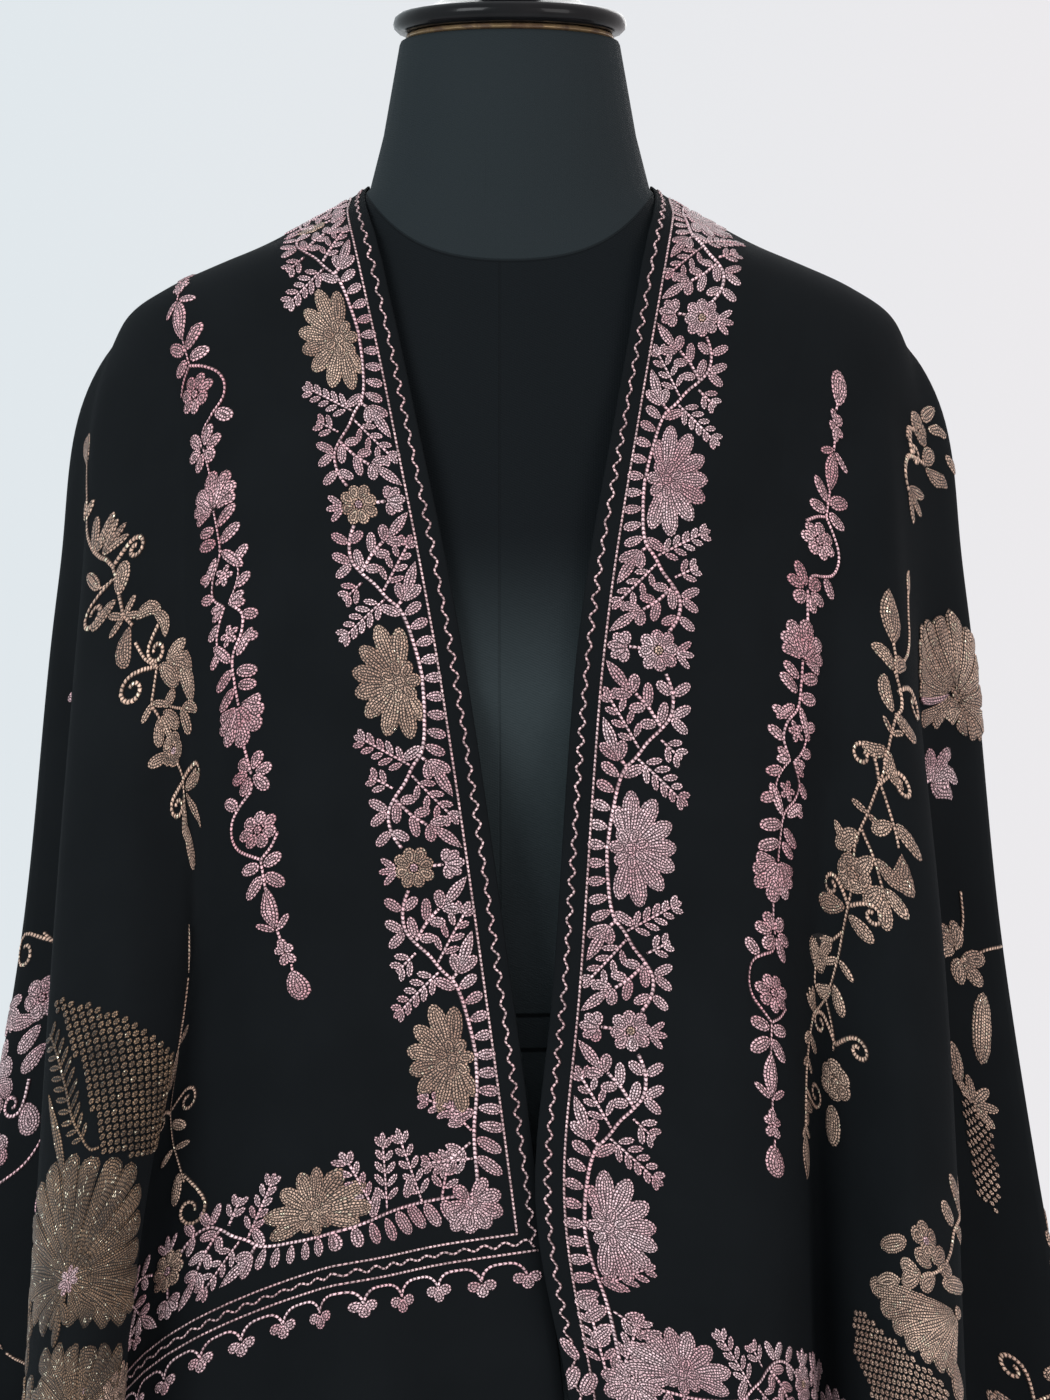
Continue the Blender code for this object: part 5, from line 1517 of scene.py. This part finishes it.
class Finish:
    """One material; its constant values go straight on the shader's own sockets."""

    def __init__(self, name, **settings):
        self.material = bpy.data.materials.new(name)
        self.material.use_nodes = True
        self.tree = self.material.node_tree
        self.shader = self.tree.nodes["Principled BSDF"]
        for label, value in settings.items():
            self.shader.inputs[label.replace("_", " ")].default_value = value

    def node(self, kind, settings=None, values=None):
        node = self.tree.nodes.new(kind)
        for label, value in (settings or {}).items():
            setattr(node, label, value)
        for key, value in (values or {}).items():
            self.feed(node.inputs[key], value)
        return node

    def feed(self, socket, value):
        if isinstance(value, Amount):
            value = value.socket
        if isinstance(value, bpy.types.NodeSocket):
            self.tree.links.new(value, socket)
        else:
            socket.default_value = value

    def shade(self, label, value):
        """Feeds one of the shader's own sockets."""
        self.feed(self.shader.inputs[label], value)

    def place(self):
        """Object coordinates, in metres."""
        return self.node("ShaderNodeTexCoord").outputs["Object"]

    def parts(self, vector):
        node = self.node("ShaderNodeSeparateXYZ", None, {0: vector})
        return [Amount(self, socket) for socket in node.outputs]

    def sewn(self, layer):
        """The piece's own UV map, in millimetres."""
        along, across, _ = self.parts(self.node("ShaderNodeUVMap", {"uv_map": layer}).outputs[0])
        return along, across

    def vector(self, along, across, third=0.0):
        return self.node("ShaderNodeCombineXYZ", None, {0: along, 1: across, 2: third}).outputs[0]

    def noise(self, vector, scale, detail=2.0, roughness=0.5):
        node = self.node("ShaderNodeTexNoise", None,
                         {"Vector": vector, "Scale": scale, "Detail": detail, "Roughness": roughness})
        return Amount(self, node.outputs[0])

    def chance(self, vector):
        """A different number from 0 to 1 for every vector."""
        node = self.node("ShaderNodeTexWhiteNoise", {"noise_dimensions": "3D"}, {"Vector": vector})
        return Amount(self, node.outputs["Value"])

    def colours(self, share, first, second, blend="MIX"):
        """One colour where share is 0 and the other where it is 1."""
        node = self.node("ShaderNodeMix", {"data_type": "RGBA", "blend_type": blend}, {0: share})
        for number, colour in ((6, first), (7, second)):
            self.feed(node.inputs[number], (*colour, 1.0) if isinstance(colour, tuple) else colour)
        return node.outputs[2]

    def dimmed(self, colour, share):
        """The colour times a grey of this brightness."""
        grey = self.node("ShaderNodeCombineColor", None, {0: share, 1: share, 2: share})
        return self.colours(1.0, colour, grey.outputs[0], "MULTIPLY")

    def relief(self, height, depth, strength):
        """Bumps in the shader's normal."""
        node = self.node("ShaderNodeBump", None, {"Height": height, "Distance": depth, "Strength": strength})
        self.feed(self.shader.inputs["Normal"], node.outputs[0])


def wool_finish():
    """Near-black wool: a fine twill in the cloth's own millimetres, with a soft bloom on its folds."""
    finish = Finish("black_wool", Sheen_Weight=0.012, Sheen_Roughness=0.4, Sheen_Tint=(0.62, 0.76, 0.86, 1.0),
                    Specular_IOR_Level=0.04)
    along, across = finish.sewn("cloth")
    weave = finish.vector(along, across)
    twill = (along + across).ribs(0.62)
    pick = (along - across).ribs(0.31)
    mottle = finish.noise(weave, 0.02, 4.0)
    fibre = finish.noise(weave, 3.5, 3.0, 0.7)
    height = twill * 0.6 + pick * 0.25 + fibre * 0.5
    tone = mottle * 0.7 + fibre * 0.3
    finish.shade("Base Color", finish.colours(tone, (0.0034, 0.0041, 0.0047), (0.0072, 0.0086, 0.0098)))
    finish.shade("Roughness", 0.74 + fibre * 0.2)
    finish.relief(height, 0.00018, 0.55)
    return finish.material


ROW_WIDTH, STITCH = 1.5, 2.2                       # millimetres across a row of chain stitch, and along one stitch


def thread_finish(name, light, dark, deep, glints):
    """Chain-stitched thread: rows follow each shape's outline, and each row is a chain of short loops.

    The map holds how far a place is along its row and how far it is in from the outline, in millimetres.
    """
    finish = Finish(name, Sheen_Weight=0.03, Sheen_Roughness=0.35, Specular_IOR_Level=0.38)
    along, across = finish.sewn("rows")
    row = across / ROW_WIDTH
    off_middle = (row.fraction() - 0.5).size() * 2.0
    loops = along / STITCH + row.whole() * 0.37 - off_middle * 0.32
    loop = loops.fraction()
    ridge = off_middle.fall(0.30, 0.95)
    link = loop.rise(0.0, 0.22) * loop.fall(0.55, 0.92)
    plait = ridge * (link * 0.9 + 0.1)
    outline = across.rise(0.0, 0.6)
    each = finish.chance(finish.vector(loops.whole(), row.whole()))
    spot = finish.place()
    drift = finish.noise(spot, 42.0, 2.0).rise(0.34, 0.66)
    tint = Amount(finish, finish.node("ShaderNodeAttribute", {"attribute_name": "tint"}).outputs["Fac"])
    share = (drift * 0.45 + tint * 0.35 + each * 0.2).least(1.0)
    colour = finish.colours(share, light, dark)
    # Each stitch is painted brighter or darker at random, as painted highlights and shade on the shiny thread.
    colour = finish.dimmed(colour, 0.58 + each * 0.84)
    # Painted shade: the gaps between the loops and the rim along each shape's outline are painted in the deep colour.
    colour = finish.colours(plait.rise(0.08, 0.62) * (outline * 0.65 + 0.35), deep, colour)
    finish.shade("Roughness", 0.5 - each * 0.12)
    if glints:
        shine = each.rise(0.86, 0.9) * plait.rise(0.3, 0.7)
        colour = finish.colours(shine, colour, (0.95, 0.83, 0.62))
        finish.shade("Metallic", shine * 0.9 + 0.05)
        finish.shade("Roughness", 0.5 - shine * 0.28)
    finish.shade("Base Color", colour)
    finish.relief(plait + each * 0.2, 0.00075, 1.0)
    return finish.material


TWILL, RIB = 1.25, 0.8                             # millimetres from ridge to ridge
NECK_SEAM = (1.3575, 3.0, 700.0)                   # its lowest point, and how it climbs outward
CENTRE_SEAM = -4.5                                 # millimetres to one side of the middle
WAIST_TAPE, TAPE_HALF = 975.0, 7.6                 # millimetres up the form, and half the tape's width


def cover_finish():
    """The form's charcoal cover: fine upright twill, a centre seam, a curved neck seam and a waist tape, with light and
    shade painted into its colour in bands by height.
    """
    finish = Finish("charcoal_cover", Sheen_Weight=0.012, Sheen_Roughness=0.5, Sheen_Tint=(0.7, 0.85, 0.95, 1.0),
                    Specular_IOR_Level=0.05)
    spot = finish.place()
    out, forward, up = finish.parts(spot)
    cross = out * 1000.0
    rise = up * 1000.0
    twill = (rise + cross * 0.42).ribs(TWILL)
    rib = cross.ribs(RIB)
    slub = finish.noise(finish.vector(cross * 0.35, forward * 350.0, rise * 2.2), 1.0, 3.0, 0.6)
    square = out * out
    lowest, climb, steepen = NECK_SEAM
    low_point = lowest + square * climb + square * square * steepen
    below = (up - low_point).fall(-0.001, 0.0)
    in_front = forward.fall(-0.03, -0.02) * below
    centre = (cross - CENTRE_SEAM).size().fall(0.25, 0.9) * in_front
    centre_back = cross.size().fall(0.25, 0.9) * forward.rise(0.02, 0.03)
    neck = ((up - low_point) * 1000.0).size().fall(0.3, 1.2)
    seam = centre * 0.45 + centre_back * 0.7 + neck
    tape = (rise - WAIST_TAPE).size()
    # The tape is raised, and its lighter colour is a painted highlight along it; just above and below it a painted
    # shade darkens the cover.
    tape_with_glint = tape.fall(TAPE_HALF, TAPE_HALF + 0.6)
    painted_shade_by_tape = (tape - (TAPE_HALF + 1.0)).size().fall(0.6, 1.6)
    above = (up - low_point).rise(-0.0003, 0.0003)
    tone = (slub * 0.65 + twill * 0.35) * 0.8 + 0.1
    # Painted light and shade: the cover is painted darkest on the upper chest where it lies in shade, lighter on the
    # bust, and lightest below the waist; the neck above its seam is painted lighter than the chest.
    painted_chest_shade = finish.colours(tone, (0.0024, 0.0034, 0.0042), (0.0058, 0.0076, 0.0090))
    lower = finish.colours(tone, (0.0150, 0.0205, 0.0225), (0.0340, 0.0445, 0.0480))
    painted_light_below_waist = finish.colours(tone, (0.0260, 0.0330, 0.0360), (0.0560, 0.0680, 0.0740))
    cloth = finish.colours(up.rise(1.00, 1.09), painted_light_below_waist, lower)
    cloth = finish.colours(up.rise(1.13, 1.23), cloth, painted_chest_shade)
    cloth = finish.colours(above * 0.85, cloth, (0.0155, 0.0205, 0.0228))
    cloth = finish.colours(tape_with_glint * 0.5, cloth, (0.030, 0.036, 0.040))
    # Darkened: the seams as dark joints, and the bands beside the tape as painted shade.
    dark = (seam * 0.6 + painted_shade_by_tape).least(1.0)
    finish.shade("Base Color", finish.colours(dark * 0.85, cloth, (0.002, 0.0025, 0.003)))
    finish.shade("Roughness", 0.62 + slub * 0.2)
    finish.relief(twill * 0.35 + rib * 0.2 + slub * 0.35 - seam * 2.6 + tape_with_glint * 1.5, 0.00030, 0.7)
    return finish.material


def gloss_black_finish():
    """Black lacquer on turned wood: a deep clear coat, faint turning lines and soft wear on the rim."""
    finish = Finish("black_lacquer", Coat_Roughness=0.06, Specular_IOR_Level=0.08)
    spot = finish.place()
    up = finish.parts(spot)[2]
    turning = finish.noise(finish.vector(0.0, 0.0, up * 2600.0), 1.0, 2.0)
    smear = finish.noise(spot, 38.0, 3.0)
    finish.shade("Base Color", finish.colours(smear, (0.0030, 0.0030, 0.0034), (0.0085, 0.0085, 0.0092)))
    finish.shade("Roughness", 0.17 + smear * 0.12)
    finish.shade("Coat Weight", 0.07 + smear * 0.08)
    finish.relief(turning, 0.00006, 0.35)
    return finish.material


def brass_ring_finish():
    """A thin varnished ring of brown wood with gilding worn along it."""
    finish = Finish("gilded_ring", Specular_IOR_Level=0.5)
    spot = finish.place()
    out, forward, up = finish.parts(spot)
    grain = finish.noise(finish.vector(out * 60.0, forward * 60.0, up * 900.0), 1.0, 3.0)
    worn = finish.noise(spot, 120.0, 3.0, 0.65).rise(0.42, 0.6)
    wood = finish.colours(grain, (0.040, 0.020, 0.011), (0.15, 0.088, 0.046))
    finish.shade("Base Color", finish.colours(worn * 0.6, wood, (0.42, 0.29, 0.15)))
    finish.shade("Metallic", worn * 0.6)
    finish.shade("Roughness", 0.48 - worn * 0.2)
    finish.relief(grain, 0.00012, 0.5)
    return finish.material


def underplate_finish():
    """The form's plain underplate: dark board with a fine pressed grain."""
    finish = Finish("dark_board", Specular_IOR_Level=0.3)
    spot = finish.place()
    grain = finish.noise(spot, 420.0, 3.0, 0.6)
    patch = finish.noise(spot, 18.0, 3.0)
    finish.shade("Base Color", finish.colours(patch * 0.6 + grain * 0.4, (0.012, 0.012, 0.013), (0.045, 0.043, 0.042)))
    finish.shade("Roughness", 0.6 + grain * 0.25)
    finish.relief(grain, 0.00015, 0.5)
    return finish.material


def stand_finish():
    """Satin black enamel on steel, with faint orange peel and brushed highlights."""
    finish = Finish("black_enamel", Coat_Roughness=0.18, Specular_IOR_Level=0.5)
    spot = finish.place()
    peel = finish.noise(spot, 520.0, 2.0)
    wear = finish.noise(spot, 24.0, 4.0, 0.6)
    finish.shade("Base Color", finish.colours(wear, (0.006, 0.006, 0.007), (0.017, 0.017, 0.018)))
    finish.shade("Roughness", 0.26 + wear * 0.18)
    finish.shade("Coat Weight", 0.25 + wear * 0.2)
    finish.relief(peel, 0.00008, 0.35)
    return finish.material


def floor_finish():
    """The studio floor: pale, matt and plain."""
    finish = Finish("pale_floor", Roughness=0.85, Specular_IOR_Level=0.2)
    tone = finish.noise(finish.place(), 2.0, 2.0)
    finish.shade("Base Color", finish.colours(tone, (0.74, 0.755, 0.77), (0.78, 0.785, 0.79)))
    return finish.material


# ---- pieces ----
def new_piece(name, places, faces, finish, uv, uv_name, tint=None):
    """A mesh piece of the stole from arrays of places and faces; uv holds one pair for every face corner."""
    mesh = bpy.data.meshes.new(name)
    mesh.from_pydata(places.tolist(), [], faces)
    layer = mesh.uv_layers.new(name=uv_name)
    layer.data.foreach_set("uv", np.asarray(uv, dtype=np.float32).ravel())
    if tint is not None:
        shades = mesh.attributes.new("tint", "FLOAT", "POINT")
        shades.data.foreach_set("value", np.asarray(tint, dtype=np.float32))
    mesh.validate()
    mesh.shade_smooth()
    piece = bpy.data.objects.new(name, mesh)
    bpy.context.scene.collection.objects.link(piece)
    mesh.materials.append(finish)
    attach(piece, "root")
    return piece


def edit(piece):
    """Select one piece alone and open it in edit mode with all of its mesh selected."""
    if bpy.context.object and bpy.context.object.mode != "OBJECT":
        bpy.ops.object.mode_set(mode="OBJECT")
    bpy.ops.object.select_all(action="DESELECT")
    bpy.context.view_layer.objects.active = piece
    piece.select_set(True)
    bpy.ops.object.mode_set(mode="EDIT")
    bpy.ops.mesh.select_all(action="SELECT")


def finished_copy(node, name, finish, slot, sharp, rounding):
    """A smooth copy of a plain solid, with its facets merged and its hard edges rounded."""
    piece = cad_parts[node].copy()
    piece.data = piece.data.copy()
    piece.name = name
    bpy.context.scene.collection.objects.link(piece)
    edit(piece)
    bpy.ops.mesh.remove_doubles(threshold=0.00001)
    bpy.ops.mesh.dissolve_limited(angle_limit=radians(0.5))
    bpy.ops.object.mode_set(mode="OBJECT")
    mesh = piece.data
    bevel = piece.modifiers.new("rounding", "BEVEL")
    bevel.width = rounding
    bevel.segments = 3
    bevel.limit_method = "ANGLE"
    bevel.angle_limit = radians(sharp)
    bpy.ops.object.modifier_apply(modifier="rounding")
    mesh.materials.clear()
    mesh.materials.append(finish)
    bpy.ops.object.shade_smooth_by_angle(angle=radians(sharp))
    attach(piece, "root")
    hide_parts(node)
    return piece


def wall_of(cloth):
    """Both faces of the cloth and the rounded edge that joins them."""
    half = CLOTH_WALL / 2.0
    count = len(cloth.places)
    outer = cloth.places + cloth.normals * half
    inner = cloth.places - cloth.normals * half
    rim, ahead = cloth.rim, np.roll(cloth.rim, -1)
    along = unit(cloth.places[ahead] - cloth.places[np.roll(rim, 1)])
    outward = np.cross(along, cloth.normals[rim])
    middle = cloth.places[rim] + outward * half
    places = np.concatenate([outer, inner, middle])
    numbers = 2 * count + np.arange(len(rim))
    beyond = np.roll(numbers, -1)
    faces = np.concatenate([
        cloth.quads,
        cloth.quads[:, ::-1] + count,
        np.stack([ahead, rim, numbers, beyond], axis=1),
        np.stack([beyond, numbers, rim + count, ahead + count], axis=1)])
    flat = np.concatenate([cloth.cloth, cloth.cloth, cloth.cloth[rim]]) * 1000.0
    return places, faces, flat[faces].reshape(-1, 2)


def make_stole(cloth, finish):
    """The stole's cloth, in place of its three plain solids."""
    places, faces, flat = wall_of(cloth)
    stole = new_piece("stole_cloth", places, faces.tolist(), finish, flat, "cloth")
    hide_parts("stole_back", "stole_front_left", "stole_front_right")
    return stole


def make_form():
    """The form and its stand, each part a smooth copy of its solid."""
    enamel = stand_finish()
    for row in (("form_body", "form_cover", cover_finish(), "form_cover", 50.0, 0.0020),
                ("neck_cap", "turned_cap", gloss_black_finish(), "neck_cap", 40.0, 0.0006),
                ("neck_ring", "gilded_ring", brass_ring_finish(), "neck_ring", 40.0, 0.0008),
                ("form_plate", "underplate", underplate_finish(), "form_plate", 40.0, 0.0015),
                ("stand_pole", "pole", enamel, "stand", 40.0, 0.0012),
                ("stand_collar", "collar", enamel, "stand", 40.0, 0.0012),
                ("stand_base", "round_base", enamel, "stand", 40.0, 0.0012)):
        finished_copy(*row)


# ---- camera, floor and light ----
SENSOR = 36.0                                      # millimetres up the frame
CAMERA_PLACE = (0.0078, -1.667, 1.2767)
CAMERA_PITCH = 4.91                                # degrees below level
FLOOR_RADIUS = 2.3
BACKDROP_COLOURS = ((0.72, 0.80, 0.84, 1.0), (0.87, 0.83, 0.845, 1.0))
BACKDROP_HALF = 0.28                               # how far to either side its colour goes on changing
# Lamps: name, place, what it points at, width and height, power, colour
LAMPS = (("window", (-1.9, -2.3, 2.6), (0.0, 0.0, 1.15), (1.6, 1.6), 75.0, (0.95, 0.98, 1.0)),
         ("fill", (2.1, -2.0, 1.9), (0.0, 0.0, 1.1), (1.4, 1.8), 30.0, (1.0, 0.97, 0.96)),
         ("back", (0.4, 2.6, 2.3), (0.0, 0.0, 1.1), (1.8, 1.4), 14.0, (1.0, 1.0, 1.0)))


def aim(thing, place, target):
    """Put a lamp or the camera somewhere and point it at a place."""
    away = np.asarray(place) - np.asarray(target)
    thing.location = place
    thing.rotation_euler = (np.arccos(away[2] / np.linalg.norm(away)), 0.0, np.arctan2(away[0], -away[1]))


def soft_lamp(name, place, target, size, power, colour):
    lamp = bpy.data.lights.new(name, "AREA")
    lamp.shape = "RECTANGLE"
    lamp.size, lamp.size_y = size
    lamp.energy = power
    lamp.color = colour
    thing = bpy.data.objects.new(name, lamp)
    bpy.context.scene.collection.objects.link(thing)
    aim(thing, place, target)


def make_camera():
    camera = bpy.data.cameras.new("camera")
    camera.sensor_fit = "VERTICAL"
    camera.sensor_height = SENSOR
    camera.lens = SENSOR * 3200.0 / 1400.0
    thing = bpy.data.objects.new("camera", camera)
    bpy.context.scene.collection.objects.link(thing)
    thing.location = CAMERA_PLACE
    thing.rotation_euler = (radians(90.0 - CAMERA_PITCH), 0.0, 0.0)
    bpy.context.scene.camera = thing


def make_floor():
    bpy.ops.object.select_all(action="DESELECT")
    bpy.ops.mesh.primitive_circle_add(vertices=96, radius=FLOOR_RADIUS, fill_type="NGON")
    floor = bpy.context.object
    floor.name = "floor"
    floor.data.materials.append(floor_finish())


def make_backdrop():
    """A plain backdrop, cool on one side and warm on the other."""
    world = bpy.data.worlds.new("studio")
    world.use_nodes = True
    bpy.context.scene.world = world
    nodes, links = world.node_tree.nodes, world.node_tree.links
    where = nodes.new("ShaderNodeTexCoord")
    split = nodes.new("ShaderNodeSeparateXYZ")
    links.new(where.outputs["Generated"], split.inputs[0])
    ramp = nodes.new("ShaderNodeValToRGB")
    for stop, place, colour in zip(ramp.color_ramp.elements, (0.0, 1.0), BACKDROP_COLOURS):
        stop.position, stop.color = place, colour
    spread = nodes.new("ShaderNodeMapRange")
    links.new(split.outputs[0], spread.inputs[0])
    spread.inputs[1].default_value, spread.inputs[2].default_value = -BACKDROP_HALF, BACKDROP_HALF
    links.new(spread.outputs[0], ramp.inputs[0])
    backdrop = nodes["Background"]
    links.new(ramp.outputs[0], backdrop.inputs[0])
    backdrop.inputs[1].default_value = 1.0


def make_studio():
    make_camera()
    make_floor()
    make_backdrop()
    for lamp in LAMPS:
        soft_lamp(*lamp)
    bpy.context.scene.view_settings.view_transform = "Standard"


make_studio()
make_form()
cloth = Cloth()
stole = make_stole(cloth, wool_finish())
# Each thread: the light and dark colours of its variegation, the painted shade of its gaps, and whether it has metallic
# glints.
rose = thread_finish("rose_thread", (1.0, 0.75, 0.77), (0.62, 0.31, 0.345), (0.030, 0.012, 0.016), False)
threads = {
    ROSE: rose,
    PINK: thread_finish("pink_thread", (1.0, 0.66, 0.69), (0.54, 0.225, 0.255), (0.024, 0.009, 0.011), False),
    ROSE_FAR: rose,
    GOLD: thread_finish("gold_thread", (0.90, 0.63, 0.48), (0.36, 0.205, 0.15), (0.014, 0.008, 0.006), True),
    # The next thread is the gold painted darker, as painted shade on the left arm's work.
    GOLD_IN_SHADE: thread_finish("bronze_thread", (0.42, 0.262, 0.158), (0.050, 0.028, 0.016), (0.003, 0.002, 0.0015), True),
    EDGE: thread_finish("edge_thread", (0.86, 0.62, 0.62), (0.46, 0.26, 0.27), (0.035, 0.016, 0.018), False)}
work = embroidery()
sewn = [worked_piece(name + "_work", cloth, work[name], finish) for name, finish in threads.items()]
